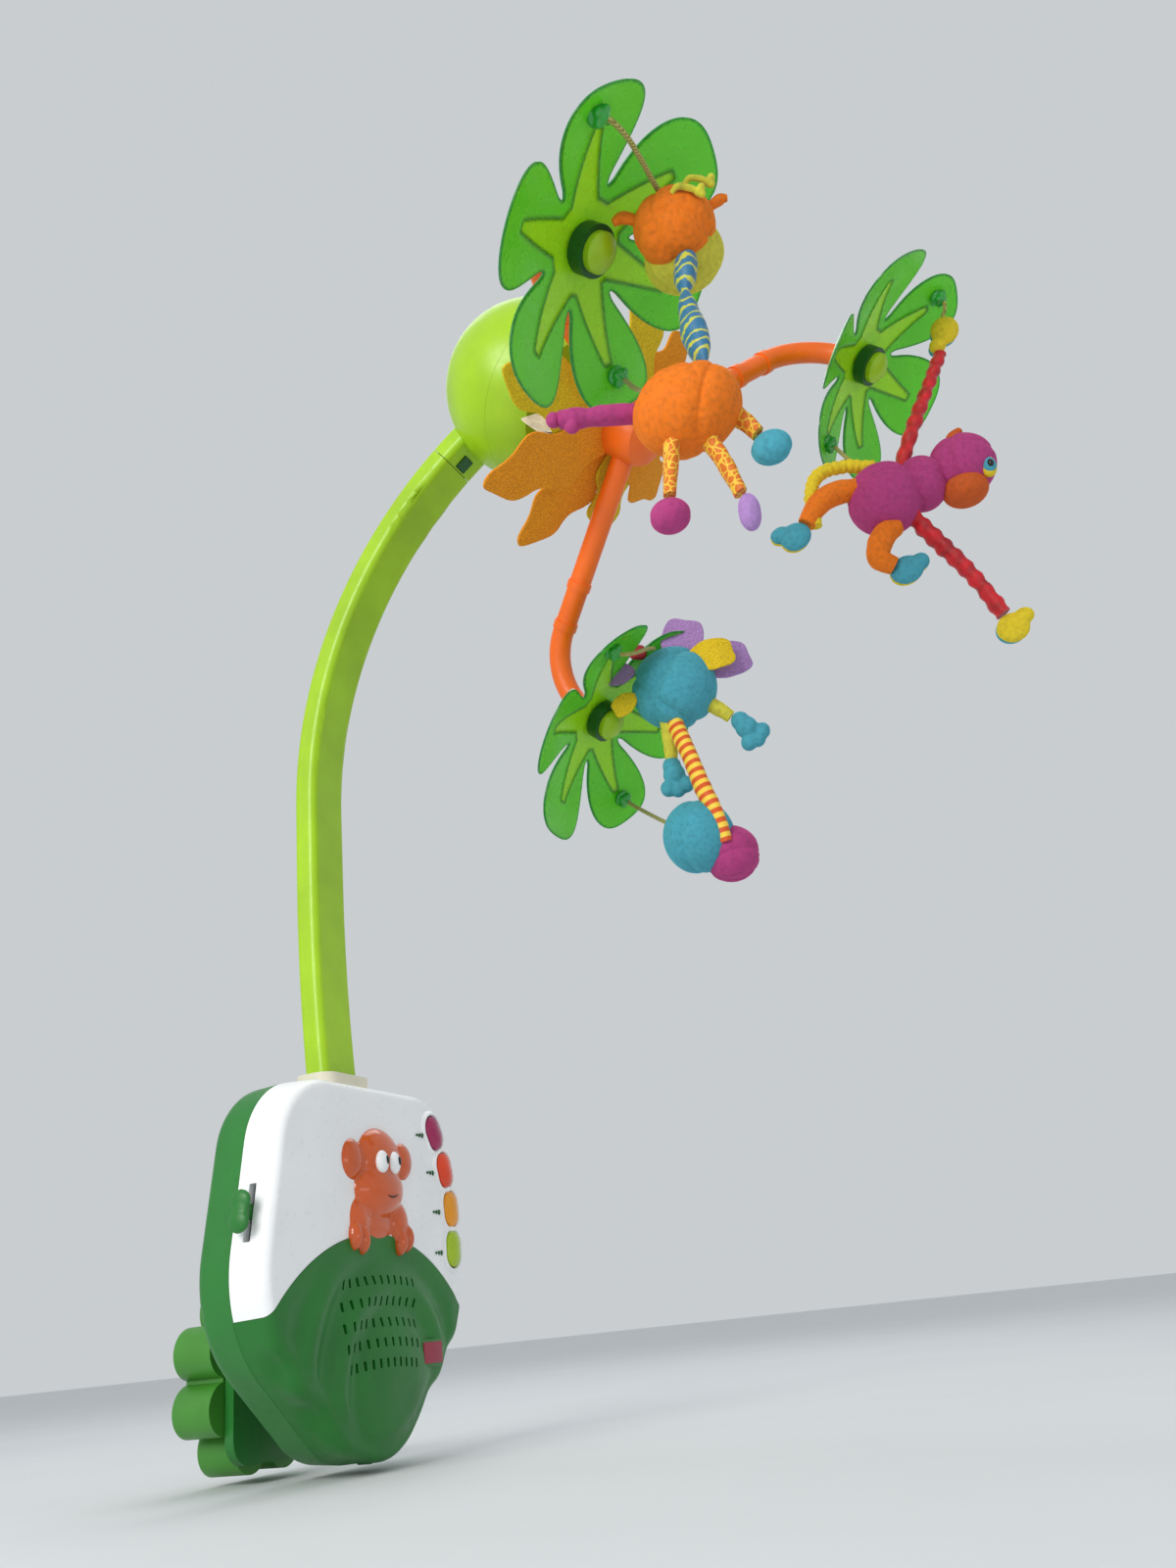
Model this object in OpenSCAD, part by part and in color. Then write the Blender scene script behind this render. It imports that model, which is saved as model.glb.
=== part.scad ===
// Crib mobile: a music box that clamps to a rail, a curved arm, a motor dome,
// a three-armed rotor with lobed leaves, and three plush animals on short cords.
// The origin is on the clamp stud's axis, at the music box's back face.
// +X is to the right seen from the front, the front faces -Y, and +Z is up.

/* [Music box] */
// Width of the music box
box_w = 168; // [164:1:176]
// Depth of the music box, front face to back face
box_d = 40; // [38:1:46]
// Height of the box's centre above the clamp stud
box_up = 38; // [36:1:40]
// Wall thickness of the moulded shells
wall = 2.4; // [2:0.1:3]
// Height of the green hill above the box's centre
hill_top = 20; // [16:1:24]

/* [Clamp] */
// Radius of the clamp stud
stud_r = 6; // [5:0.5:7]
// Gap for the rail at rest
rail_gap = 20; // [16:1:24]
// Radius of the clamp knob over its lobes
knob_r = 45; // [40:1:48]

/* [Arm] */
// Width of the arm across X
arm_w = 29; // [26:1:31]
// Thickness of the arm
arm_t = 14; // [13:0.5:15]
// Radius of the arm's upper bend
bend_r = 244; // [240:1:248]

/* [Motor dome] */
// Outer radius of the dome
dome_r = 52.5; // [51:0.5:54]
// Tilt of the rotor's axis below the horizontal, in degrees
tilt = 44; // [42:1:46]

/* [Rotor] */
// Distance from the rotor's axis to each leaf's centre
leaf_circle_r = 155; // [150:1:158]
// Turn of the rotor at rest, in degrees
rotor_phase = -65.4; // [-66:0.1:-64]
// Radius of the spider's tubes
tube_r = 6.3; // [5.5:0.1:7]

/* [Leaves] */
// Thickness of a leaf
leaf_t = 2.5; // [2:0.1:3]
// Radius of the sphere that a leaf is dished to
dish_r = 123; // [115:1:140]

/* [Toys] */
// Radius of the giraffe's body
giraffe_body_r = 20; // [18:0.5:21]
// Radius of the monkey's body
monkey_body_r = 22; // [20:0.5:23]
// Radius of the bird's body
bird_body_r = 24; // [22:0.5:25]
// Diameter of the hanging cords
cord_d = 2.4; // [2:0.1:3]

/* [Hidden] */
$fn = 48;
eps = 0.05;
run = 0.05;                    // radial running clearance
gap = 0.4;                     // clearance between moving and fixed faces
seam_y = -box_d / 2;           // joint between the front and rear shells
front_y = -box_d;
arm_y0 = -11;                  // the arm's centre plane where it stands upright
arm_base_r = 1170;             // gentle lean of the arm's lower part
arm_base_z = 112;
arm_foot_y = -16.7;            // the arm's centre where it leaves the box
lean_z = 245;
bend_z = 290;
lean_angle = asin((lean_z - arm_base_z) / arm_base_r);
seam_angle = 54;               // where the arm plugs into the dome's neck
dome_pos = [0, -171.5, 517.1];
cover_z = 12;                  // joint plane of the dome, along the rotor's axis
cover_front = 34;              // flat front of the dome
hub_z = 78;                    // the spider's arms leave the hub here
elbow_r = 36;
arm_end_z = hub_z + elbow_r;
leaf_z = 121;                  // back of a leaf at its centre
post_r = 11.5;
spigot_r = 5;
boss_r = 57;                   // distance of the cord bosses from a leaf's centre
boss_h = dish_r - sqrt(dish_r * dish_r - boss_r * boss_r);
shaft_r = 4;
gear_teeth = 48;
pinion_teeth = 12;
gear_r = 24;
pinion_r = gear_r * pinion_teeth / gear_teeth;
gear_t = 6;
gear_z = 12;
lobe_angles = [-5, 58, 122, 178, 232, 290];
lobe_lengths = [66, 69, 70, 70, 64, 68];
leaf_turns = [147.5, 84.3, 149];       // direction of each leaf's first boss, round the rotor's axis
button_places = [[57, 73, 32], [66, 54, 18], [70.5, 34, 6], [71, 13.5, -2]]; // x, z and lean
button_w = 13;
button_h = 18;
speaker_rows = [[-1, 30], [-10.5, 31.5], [-20, 32], [-29, 31], [-38, 27]];
screw_places = [[-50, 30], [50, 30], [-34, -52], [34, -52]];
screw_l = 16;                  // depth of the screw holes
head_t = 1.6;
knob_lobes = 8;
knob_y = rail_gap + 5.5;
knob_t = 22;
plate_t = 5;

// Centres of the toys' main parts
giraffe_head_p = [-151, -311, 434];
giraffe_muzzle_p = [-148, -319, 417];
giraffe_body_p = [-153, -304, 338];
monkey_head_p = [92, -391, 430];
monkey_body_p = [76, -345, 417];
bird_head_p = [67, -215, 242];
bird_beak_p = [72, -231, 231];
bird_body_p = [62, -211, 333];

// Cord routes, from each leaf's bosses to the toys
cord_giraffe_head = [
    [-203.2, -304, 450.2], [-199, -306.5, 449.4], [-190, -308.5, 448.8],
    [-178, -309, 448.5], [-167, -309, 448.2], [-159.5, -309.3, 447.9]];
cord_giraffe_body = [
    [-105.5, -263, 408.2], [-106.5, -265.5, 404], [-112, -270.5, 394.5],
    [-121, -278.5, 382], [-132, -287.5, 367.5], [-142.4, -294.8, 353.8]];
cord_monkey_hand = [
    [95.4, -400.6, 550.3], [97.5, -400.6, 545.3], [102, -395.5, 539],
    [105.6, -390.3, 531], [104.6, -389.4, 524.5], [100.5, -390.8, 519]];
cord_monkey_body = [
    [84.1, -321.6, 468.9], [84, -324, 464.5], [82.5, -328, 456.5],
    [80.5, -332.5, 447], [79, -336, 438.3]];
cord_bird_body = [
    [16.5, -196.8, 339.4], [18.5, -200, 338.8], [25, -203, 341.5],
    [32, -205, 345.5], [39, -206.5, 349.5], [46, -207.5, 352.5]];
cord_bird_head = [
    [112.6, -154.1, 295.4], [111.6, -157.5, 291.8], [105, -167, 283],
    [96, -178, 273], [87, -188.5, 263.8], [77, -199.3, 255]];

// ---- shared shapes ----

// Rounded rectangle, exact arcs
module rrect(w, h, r) {
    square([w - 2 * r, h], center = true);
    square([w, h - 2 * r], center = true);
    for (sx = [-1, 1], sy = [-1, 1])
        translate([sx * (w / 2 - r), sy * (h / 2 - r)])
            circle(r);
}

// Upright oval with straight sides
module oval(w, h) {
    square([w, h - w], center = true);
    for (s = [-1, 1])
        translate([0, s * (h - w) / 2])
            circle(d = w);
}

// Front view of the music box, inset by a wall; its left shoulder is the rounder one
module box_outline(inset = 0) {
    half = box_w / 2;
    hull() {
        translate([half - 40, 60])
            circle(33 - inset, $fn = 40);
        translate([47 - half, 55])
            circle(38 - inset, $fn = 44);
        for (s = [-1, 1])
            translate([s * (half - 58), 4])
                circle(58 - inset, $fn = 56);
        translate([0, -35])
            circle(45 - inset, $fn = 48);
    }
}

// A slab of a front view between two depths
module slab(y0, y1) {
    translate([0, y1, box_up])
        rotate([90, 0, 0])
            linear_extrude(y1 - y0)
                children();
}

module hill_outline(grow = 0) {
    translate([-2, hill_top - 105])
        circle(105 + grow, $fn = 120);
}

module front_case() {
    difference() {
        hull() {
            slab(-box_d + 5, seam_y)
                box_outline();
            slab(-box_d, -box_d + 1)
                box_outline(5);
        }
        slab(-box_d + wall, seam_y + 1)
            box_outline(wall + 2.6);
    }
}

// Opening for the arm's foot, through the top of both shells
module arm_notch() {
    translate([0, arm_foot_y, box_up + 93])
        cube([arm_w + 0.6, arm_t + 1.6, 60], center = true);
}

// Places a part in the rotor's frame: +z along the rotor's axis
module on_dome() {
    translate(dome_pos)
        rotate([90 + tilt, 0, 0])
            children();
}

module on_leaf(i) {
    on_dome()
        rotate([0, 0, rotor_phase + 120 * i])
            translate([leaf_circle_r, 0, 0])
                children();
}

// Sweeps a section [radial, across] along the arm's curve
module arm_arc(r, cy, cz, from_a, to_a) {
    translate([0, cy, cz])
        rotate([90, 0, 90])
            rotate_extrude(angle = to_a - from_a, start = from_a, $fn = 180)
                translate([r, 0])
                    children();
}

module arm_run() {
    arm_arc(arm_base_r, arm_y0 - arm_base_r, lean_z, -lean_angle, 0)
        children();
    translate([0, arm_y0, lean_z])
        rotate([0, 0, 90])
            linear_extrude(bend_z - lean_z)
                children();
    arm_arc(bend_r, arm_y0 - bend_r, bend_z, 0, seam_angle)
        children();
}

module arm_half(side) {
    intersection() {
        difference() {
            rrect(arm_t, arm_w, 4);
            rrect(arm_t - 2 * wall, arm_w - 2 * wall, 2);
        }
        translate([side * arm_t / 2, 0])
            square([arm_t, arm_w], center = true);
    }
}

// Cord tube along a route
function unit(v) = v / norm(v);
function tangent(p, i) = unit(p[min(i + 1, len(p) - 1)] - p[max(i - 1, 0)]);
function ring(p, t, r, n) =
    let (a = unit(cross(t, [0.31, 0.87, 0.38])), b = cross(t, a))
    [for (k = [0:n - 1]) p + r * (cos(360 * k / n) * a + sin(360 * k / n) * b)];
module cord_tube(route) {
    n = 8;
    m = len(route);
    points = [for (i = [0:m - 1]) each ring(route[i], tangent(route, i), cord_d / 2, n)];
    sides = [for (i = [0:m - 2], k = [0:n - 1])
        [i * n + k, (i + 1) * n + k, (i + 1) * n + (k + 1) % n, i * n + (k + 1) % n]];
    ends = [[for (k = [0:n - 1]) k], [for (k = [n - 1:-1:0]) (m - 1) * n + k]];
    polyhedron(points, concat(sides, ends));
}

// Straight limb between two points, with a round end
module limb(a, b, r) {
    d = b - a;
    translate(a)
        rotate([0, acos(d.z / norm(d)), atan2(d.y, d.x)])
            cylinder(h = norm(d), r = r, $fn = 32);
    translate(b)
        sphere(r + 0.5, $fn = 32);
}

module ball(p, r) {
    translate(p)
        sphere(r);
}

// Flat round pad whose face looks along a direction
module pad(p, dir, r, t) {
    translate(p)
        rotate([0, acos(dir.z / norm(dir)), atan2(dir.y, dir.x)])
            translate([0, 0, -t / 2])
                cylinder(h = t, r = r, $fn = 32);
}

// ---- music box ----

module front_shell() {
    color("white")
        difference() {
            union() {
                front_case();
                for (b = button_places)
                    slab(front_y - 1.2, front_y + wall)
                        translate([b.x, b.y])
                            rotate(b.z)
                                oval(button_w + 5, button_h + 5);
            }
            slab(front_y - 2, seam_y + 1)
                hill_outline(0.2);
            for (b = button_places)
                slab(front_y - 2, front_y + 8)
                    translate([b.x, b.y])
                        rotate(b.z)
                            oval(button_w + 2 * gap, button_h + 2 * gap);
            arm_notch();
            volume_slot();
        }
}

module hill_panel() {
    color("yellowgreen")
        difference() {
            intersection() {
                front_case();
                slab(front_y - 2, seam_y + 1)
                    hill_outline();
            }
            slab(front_y - 1, front_y + 8)
                for (row = speaker_rows, k = [-5:5])
                    translate([k * row.y / 5.5, row.x - 0.012 * k * k * row.y / 5])
                        square([1.8, 5], center = true);
        }
}

// Places a screw at each boss: +z runs forward from the back face
module at_screws() {
    for (p = screw_places)
        translate([p.x, 0, box_up + p.y])
            rotate([90, 0, 0])
                children();
}

module rear_shell() {
    color("olivedrab")
        difference() {
            hull() {
                slab(seam_y, -6)
                    box_outline();
                slab(-1, 0)
                    box_outline(6);
            }
            difference() {
                slab(seam_y - 1, -wall)
                    box_outline(wall + 3.6);
                at_screws()
                    cylinder(h = screw_l - 2, r = 5);
            }
            arm_notch();
            slab(-wall - 1, 1)
                translate([0, 28])
                    square([70, 44], center = true);
            at_screws() {
                translate([0, 0, -1])
                    cylinder(h = head_t + 1.2, r = 3.3);
                cylinder(h = screw_l, r = 1.7);
            }
            rotate([90, 0, 0])
                cylinder(h = 30, r = stud_r + run, center = true);
        }
}

module battery_door() {
    color("olivedrab")
        slab(-wall, 0)
            translate([0, 28])
                square([69, 43], center = true);
}

module battery_cells() {
    color("dimgray")
        for (k = [-1:1])
            translate([-25, -10.4, box_up + 28 + 14.6 * k])
                rotate([0, 90, 0])
                    cylinder(h = 50, d = 14.2);
}

module speaker() {
    color("dimgray")
        translate([0, front_y + wall + 0.5, box_up - 20])
            rotate([-90, 0, 0]) {
                cylinder(h = 5, r = 24);
                translate([0, 0, 5])
                    cylinder(h = 8, r = 13);
            }
}

module circuit_board() {
    color("darkgreen")
        slab(-29, -27.4)
            translate([12, 42])
                square([76, 58], center = true);
}

module relief_figure() {
    color("orangered")
        difference() {
            intersection() {
                union() {
                    ball([6, front_y + 12, box_up + 45], 20.5);
                    ball([-11, front_y + 8, box_up + 52], 12);
                    ball([23, front_y + 8, box_up + 53], 12);
                    ball([5, front_y + 9, box_up + 26], 15);
                    ball([-12, front_y + 5, box_up + 17], 9);
                    ball([22, front_y + 5, box_up + 16], 9);
                }
                translate([-60, front_y - 12, box_up])
                    cube([120, 12 - eps, 80]);
            }
            for (s = [-1, 1])
                translate([6 + s * 5, front_y - 3, box_up + 49])
                    rotate([90, 0, 0])
                        cylinder(h = 12, r = 3.1);
        }
}

module relief_eyes() {
    color("white")
        for (s = [-1, 1])
            translate([6 + s * 5, front_y - 3, box_up + 49])
                rotate([90, 0, 0])
                    cylinder(h = 5.2, r = 3);
}

module arm_collar() {
    color("ivory")
        difference() {
            translate([0, arm_foot_y, box_up + 93.2])
                linear_extrude(7)
                    rrect(arm_w + 11, arm_t + 9, 8);
            arm_notch();
        }
}

module case_screws() {
    color("silver")
        at_screws()
            translate([0, 0, 0.2]) {
                cylinder(h = head_t, r = 3);
                cylinder(h = screw_l - 1.2, r = 1.5);
            }
}

module button(i, shade) {
    b = button_places[i];
    color(shade) {
        slab(front_y - 3, front_y + 4)
            translate([b.x, b.y])
                rotate(b.z)
                    oval(button_w, button_h);
    }
}

module button_1() { button(0, "mediumvioletred"); }
module button_2() { button(1, "orangered"); }
module button_3() { button(2, "orange"); }
module button_4() { button(3, "yellowgreen"); }

// The slider's slot lies along the box's left side wall
module at_slider() {
    translate([-box_w / 2 + 2.2, -28, box_up + 30])
        rotate([0, 8, 0])
            children();
}

module volume_slot() {
    at_slider()
        cube([30, 5, 26], center = true);
}

module volume_slider() {
    color("yellowgreen")
        at_slider() {
            translate([-4, 0, 0])
                cube([5, 12, 9], center = true);
            translate([3, 0, 0])
                cube([9.1, 4, 6], center = true);
        }
}

// ---- clamp ----

module clamp_stud() {
    color("white")
        rotate([-90, 0, 0]) {
            translate([0, 0, -wall - 5.1])
                cylinder(h = 5, r = 12, $fn = 6);
            translate([0, 0, -wall - 2])
                cylinder(h = rail_gap + 28 + wall, r = stud_r);
        }
}

module clamp_plate() {
    color("olivedrab")
        difference() {
            translate([0, rail_gap + plate_t, 0])
                rotate([90, 0, 0])
                    linear_extrude(plate_t)
                        rrect(64, 76, 12);
            translate([0, rail_gap - 1, 0])
                rotate([-90, 0, 0])
                    cylinder(h = plate_t + 2, r = stud_r + run);
        }
}

module clamp_knob() {
    color("seagreen")
        difference() {
            translate([0, knob_y, 0])
                rotate([-90, 0, 0]) {
                    cylinder(h = knob_t, r = knob_r - 12);
                    for (k = [0:knob_lobes - 1])
                        rotate(360 * (k + 0.5) / knob_lobes)
                            translate([knob_r - 12, 0, 0])
                                cylinder(h = knob_t, r = 12);
                }
            translate([0, knob_y - 1, 0])
                rotate([-90, 0, 0])
                    cylinder(h = knob_t + 2, r = stud_r + run);
        }
}

// ---- arm ----

module arm_front_shell() {
    color("yellowgreen")
        arm_run()
            arm_half(-1);
}

module arm_rear_shell() {
    color("yellowgreen")
        arm_run()
            arm_half(1);
}

// Plug that joins the arm to the dome's neck
module arm_plug() {
    color("darkgreen")
        difference() {
            arm_arc(bend_r, arm_y0 - bend_r, bend_z, seam_angle - 4, seam_angle + 2.6)
                rrect(arm_t - 2 * wall - 0.3, arm_w - 2 * wall - 0.3, 2);
            at_tab()
                cube([13, 13, 10], center = true);
        }
}

module at_tab() {
    translate([0, arm_y0 - bend_r, bend_z])
        rotate([90, 0, 90])
            rotate(seam_angle + 1.4)
                translate([bend_r - arm_t / 2 + 1, 0, 0])
                    rotate([0, 90, 0])
                        children();
}

// Sprung tab in a window of the neck's front face
module lock_tab() {
    color("darkgreen")
        at_tab() {
            cube([8, 8, 3.6], center = true);
        }
}

// ---- motor dome ----

module dome_rear_shell() {
    color("yellowgreen")
        difference() {
            union() {
                on_dome()
                    difference() {
                        sphere(dome_r, $fn = 96);
                        translate([0, 0, cover_z + 60])
                            cube(120, center = true);
                    }
                arm_arc(bend_r, arm_y0 - bend_r, bend_z, seam_angle + 0.1, seam_angle + 9)
                    rrect(arm_t, arm_w, 4);
            }
            on_dome()
                sphere(dome_r - wall, $fn = 96);
            arm_arc(bend_r, arm_y0 - bend_r, bend_z, seam_angle, seam_angle + 10)
                rrect(arm_t - 2 * wall, arm_w - 2 * wall, 2);
            at_tab()
                cube([8.8, 8.8, 8], center = true);
        }
}

module dome_front_cover() {
    color("yellowgreen")
        on_dome()
            difference() {
                intersection() {
                    sphere(dome_r, $fn = 96);
                    translate([0, 0, cover_z + 0.1])
                        cylinder(h = cover_front - cover_z - 0.1, r = dome_r + 1);
                }
                intersection() {
                    sphere(dome_r - wall, $fn = 96);
                    translate([0, 0, cover_z - 1])
                        cylinder(h = cover_front - wall - cover_z + 1, r = dome_r);
                }
                translate([0, 0, cover_z])
                    cylinder(h = 40, r = shaft_r + run);
            }
}

module motor() {
    color("silver")
        on_dome()
            translate([gear_r + pinion_r, 0, -18])
                cylinder(h = 27, r = 11);
}

// Straight-sided gear teeth, cut with backlash
module gear_outline(teeth, pitch_r, turn) {
    pitch = 360 / teeth;
    root = pitch_r - 1.25;
    tip = pitch_r + 0.85;
    half_root = 0.31 * pitch;
    half_tip = 0.12 * pitch;
    rotate(turn)
        polygon([for (k = [0:teeth - 1]) each [
            root * [cos(k * pitch - half_root), sin(k * pitch - half_root)],
            tip * [cos(k * pitch - half_tip), sin(k * pitch - half_tip)],
            tip * [cos(k * pitch + half_tip), sin(k * pitch + half_tip)],
            root * [cos(k * pitch + half_root), sin(k * pitch + half_root)]]]);
}

module motor_pinion() {
    color("white")
        on_dome()
            translate([gear_r + pinion_r, 0, gear_z])
                linear_extrude(gear_t)
                    gear_outline(pinion_teeth, pinion_r, 180 / pinion_teeth);
}

module drive_gear() {
    color("white")
        on_dome() {
            translate([0, 0, gear_z])
                linear_extrude(gear_t)
                    gear_outline(gear_teeth, gear_r, 0);
            translate([0, 0, gear_z - 4])
                cylinder(h = hub_z - gear_z, r = shaft_r);
        }
}

// ---- rotor ----

module rotor_hub() {
    color("yellowgreen")
        on_dome()
            difference() {
                union() {
                    translate([0, 0, cover_front + gap])
                        cylinder(h = 30, r = 8.5);
                    translate([0, 0, hub_z - 11])
                        cylinder(h = 22, r = 15);
                }
                translate([0, 0, cover_front])
                    cylinder(h = hub_z - 4 - cover_front, r = shaft_r);
            }
}

module spider_arm(i) {
    color("darkorange")
        on_dome()
            rotate([0, 0, rotor_phase + 120 * i]) {
                translate([15, 0, hub_z])
                    rotate([0, 90, 0])
                        cylinder(h = leaf_circle_r - elbow_r - 15, r = tube_r);
                for (r = [94, leaf_circle_r - elbow_r])
                    translate([r - 5, 0, hub_z])
                        rotate([0, 90, 0])
                            cylinder(h = 5, r = tube_r + 0.8);
                translate([leaf_circle_r - elbow_r, 0, arm_end_z])
                    rotate([-90, 0, 0])
                        rotate_extrude(angle = 90)
                            translate([elbow_r, 0])
                                circle(tube_r);
                translate([leaf_circle_r, 0, arm_end_z])
                    cylinder(h = leaf_z - gap - arm_end_z, r = tube_r);
            }
}

module spider_arm_1() { spider_arm(0); }
module spider_arm_2() { spider_arm(1); }
module spider_arm_3() { spider_arm(2); }

// Felt flower round the hub, the outer form of its petals
module foliage() {
    color("orange")
        on_dome()
            translate([0, 0, hub_z - 13])
                linear_extrude(5)
                    difference() {
                        union() {
                            circle(27);
                            for (k = [0:5])
                                rotate(rotor_phase + 30 + 60 * k)
                                    translate([31, 0])
                                        circle(18);
                        }
                        circle(15 + eps);
                    }
}

module care_tag() {
    color("ivory")
        on_dome()
            rotate(rotor_phase - 68)
                translate([24, -6, hub_z - 30])
                    cube([16, 2, 16.9]);
}

// ---- leaves ----

module leaf_outline() {
    circle(28);
    for (k = [0:5])
        rotate(lobe_angles[k]) {
            translate([lobe_lengths[k] - 19, 0])
                circle(19);
            polygon([[12, -10], [12, 10], [lobe_lengths[k] - 19, 19], [lobe_lengths[k] - 19, -19]]);
        }
}

module leaf_blank() {
    translate([0, 0, leaf_z])
        intersection() {
            linear_extrude(30)
                leaf_outline();
            difference() {
                translate([0, 0, dish_r])
                    sphere(dish_r, $fn = 120);
                translate([0, 0, dish_r])
                    sphere(dish_r - leaf_t, $fn = 120);
            }
        }
}

module leaf(i) {
    color("forestgreen")
        on_leaf(i)
            rotate(leaf_turns[i] - rotor_phase - 120 * i)
                difference() {
                    union() {
                        leaf_blank();
                        for (s = [-1, 1])
                            translate([s * boss_r, 0, leaf_z + boss_h + 0.6])
                                cylinder(h = 5, r = 4);
                    }
                    translate([0, 0, leaf_z - 1])
                        cylinder(h = 6, r = spigot_r + run);
                }
}

module leaf_1() { leaf(2); }
module leaf_2() { leaf(1); }
module leaf_3() { leaf(0); }

module leaf_post(i) {
    color("darkgreen")
        on_leaf(i) {
            translate([0, 0, leaf_z - gap])
                cylinder(h = 3 + gap + gap, r = spigot_r);
            translate([0, 0, leaf_z + 3 + gap])
                cylinder(h = 7, r = post_r);
        }
}

module leaf_post_1() { leaf_post(2); }
module leaf_post_2() { leaf_post(1); }
module leaf_post_3() { leaf_post(0); }

module leaf_cap(i) {
    color("yellowgreen")
        on_leaf(i)
            translate([0, 0, leaf_z + 10 + gap]) {
                cylinder(h = 3, r = 9);
                translate([0, 0, 3])
                    intersection() {
                        translate([0, 0, -8])
                            sphere(12.04);
                        cylinder(h = 8, r = 9);
                    }
            }
}

module leaf_cap_1() { leaf_cap(2); }
module leaf_cap_2() { leaf_cap(1); }
module leaf_cap_3() { leaf_cap(0); }

// ---- giraffe ----

module giraffe_head() {
    color("darkorange")
        difference() {
            union() {
                ball(giraffe_head_p, 16);
                ball(giraffe_muzzle_p, 11);
                limb([-156, -298, 441], [-158, -290, 442], 4);
                limb([-146, -322, 444], [-143, -329, 447], 4);
            }
            cord_tube(cord_giraffe_head);
        }
}

module giraffe_neck() {
    color("steelblue")
        difference() {
            limb([-149, -311, 412], [-151, -307, 362], 4.6);
            ball(giraffe_head_p, 16 + eps);
            ball(giraffe_muzzle_p, 11 + eps);
            giraffe_body_ball(eps);
        }
}

module giraffe_body_ball(grow) {
    ball(giraffe_body_p, giraffe_body_r + grow);
}

module giraffe_body() {
    color("darkorange")
        giraffe_body_ball(0);
}

module giraffe_limbs() {
    color("mediumvioletred")
        difference() {
            union() {
                limb([-156, -297, 342], [-173, -257, 341], 4.5);
                limb([-156, -300, 325], [-157, -294, 297], 5);
                ball([-157, -294, 290], 8);
                limb([-150, -310, 325], [-146, -320, 296], 5);
                ball([-146, -321, 288], 7.5);
                limb([-150, -313, 335], [-145, -330, 323], 4.5);
                ball([-144, -334, 316], 7.5);
            }
            giraffe_body_ball(eps);
        }
}

// ---- monkey ----

module monkey_head() {
    color("mediumvioletred") {
        ball(monkey_head_p, 19);
        ball([91, -388, 411], 12);
        ball([95, -396, 451], 8);
        ball([94, -405, 419], 8);
    }
}

module monkey_body_ball(grow) {
    ball(monkey_body_p, monkey_body_r + grow);
}

module monkey_body() {
    color("mediumvioletred")
        difference() {
            monkey_body_ball(0);
            ball(monkey_head_p, 19 + eps);
        }
}

module monkey_limbs() {
    color("firebrick")
        difference() {
            union() {
                limb([80, -352, 428], [95, -389, 512], 6);
                ball([98, -397, 529], 9);
                limb([95, -389, 512], [97, -394, 522], 4);
                limb([80, -354, 408], [95, -388, 342], 6);
                ball([96, -392, 331], 9);
                limb([72, -336, 419], [57, -303, 409], 5);
                ball([54, -296, 400], 9);
                limb([74, -342, 408], [70, -334, 379], 5);
                ball([77, -348, 372], 9);
                limb([74, -338, 430], [61, -314, 438], 4);
                limb([61, -314, 438], [60, -309, 416], 4);
            }
            monkey_body_ball(eps);
            ball(monkey_head_p, 19 + eps);
            ball([95, -396, 451], 8 + eps);
            cord_tube(cord_monkey_hand);
        }
}

// ---- bird ----

module bird_body() {
    color("cadetblue")
        ball(bird_body_p, bird_body_r);
}

module bird_head() {
    color("cadetblue") {
        ball(bird_head_p, 21);
        ball(bird_beak_p, 14);
    }
}

module bird_neck() {
    color("orange")
        difference() {
            limb([64, -214, 320], [70, -224, 262], 6);
            ball(bird_body_p, bird_body_r + eps);
            ball(bird_head_p, 21 + eps);
            ball(bird_beak_p, 14 + eps);
        }
}

module bird_trim() {
    color("mediumpurple")
        difference() {
            union() {
                pad([74, -235, 350], [-0.5, -0.4, 0.5], 15, 4);
                pad([41, -214, 330], [-0.8, -0.1, -0.1], 11, 3);
                limb([68, -222, 325], [77, -245, 311], 5);
                ball([80, -251, 303], 9);
                limb([56, -204, 316], [52, -196, 293], 5);
                ball([50, -192, 285], 9);
            }
            ball(bird_body_p, bird_body_r + eps);
        }
}

// ---- cords ----

module cord_1a() { color("olive") cord_tube(cord_giraffe_head); }
module cord_1b() { color("olive") cord_tube(cord_giraffe_body); }
module cord_2a() { color("olive") cord_tube(cord_monkey_hand); }
module cord_2b() { color("olive") cord_tube(cord_monkey_body); }
module cord_3a() { color("olive") cord_tube(cord_bird_body); }
module cord_3b() { color("olive") cord_tube(cord_bird_head); }

front_shell();
hill_panel();
rear_shell();
battery_door();
battery_cells();
speaker();
circuit_board();
relief_figure();
relief_eyes();
arm_collar();
case_screws();
button_1();
button_2();
button_3();
button_4();
volume_slider();
clamp_stud();
clamp_plate();
clamp_knob();
arm_front_shell();
arm_rear_shell();
arm_plug();
dome_rear_shell();
dome_front_cover();
lock_tab();
motor();
motor_pinion();
drive_gear();
rotor_hub();
spider_arm_1();
spider_arm_2();
spider_arm_3();
foliage();
care_tag();
leaf_1();
leaf_2();
leaf_3();
leaf_post_1();
leaf_post_2();
leaf_post_3();
leaf_cap_1();
leaf_cap_2();
leaf_cap_3();
giraffe_head();
giraffe_neck();
giraffe_body();
giraffe_limbs();
monkey_head();
monkey_body();
monkey_limbs();
bird_body();
bird_head();
bird_neck();
bird_trim();
cord_1a();
cord_1b();
cord_2a();
cord_2b();
cord_3a();
cord_3b();
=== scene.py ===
import math
import bmesh
import bpy
from mathutils import Matrix, Vector, noise
from mathutils.kdtree import KDTree
from mathutils.geometry import delaunay_2d_cdt


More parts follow.
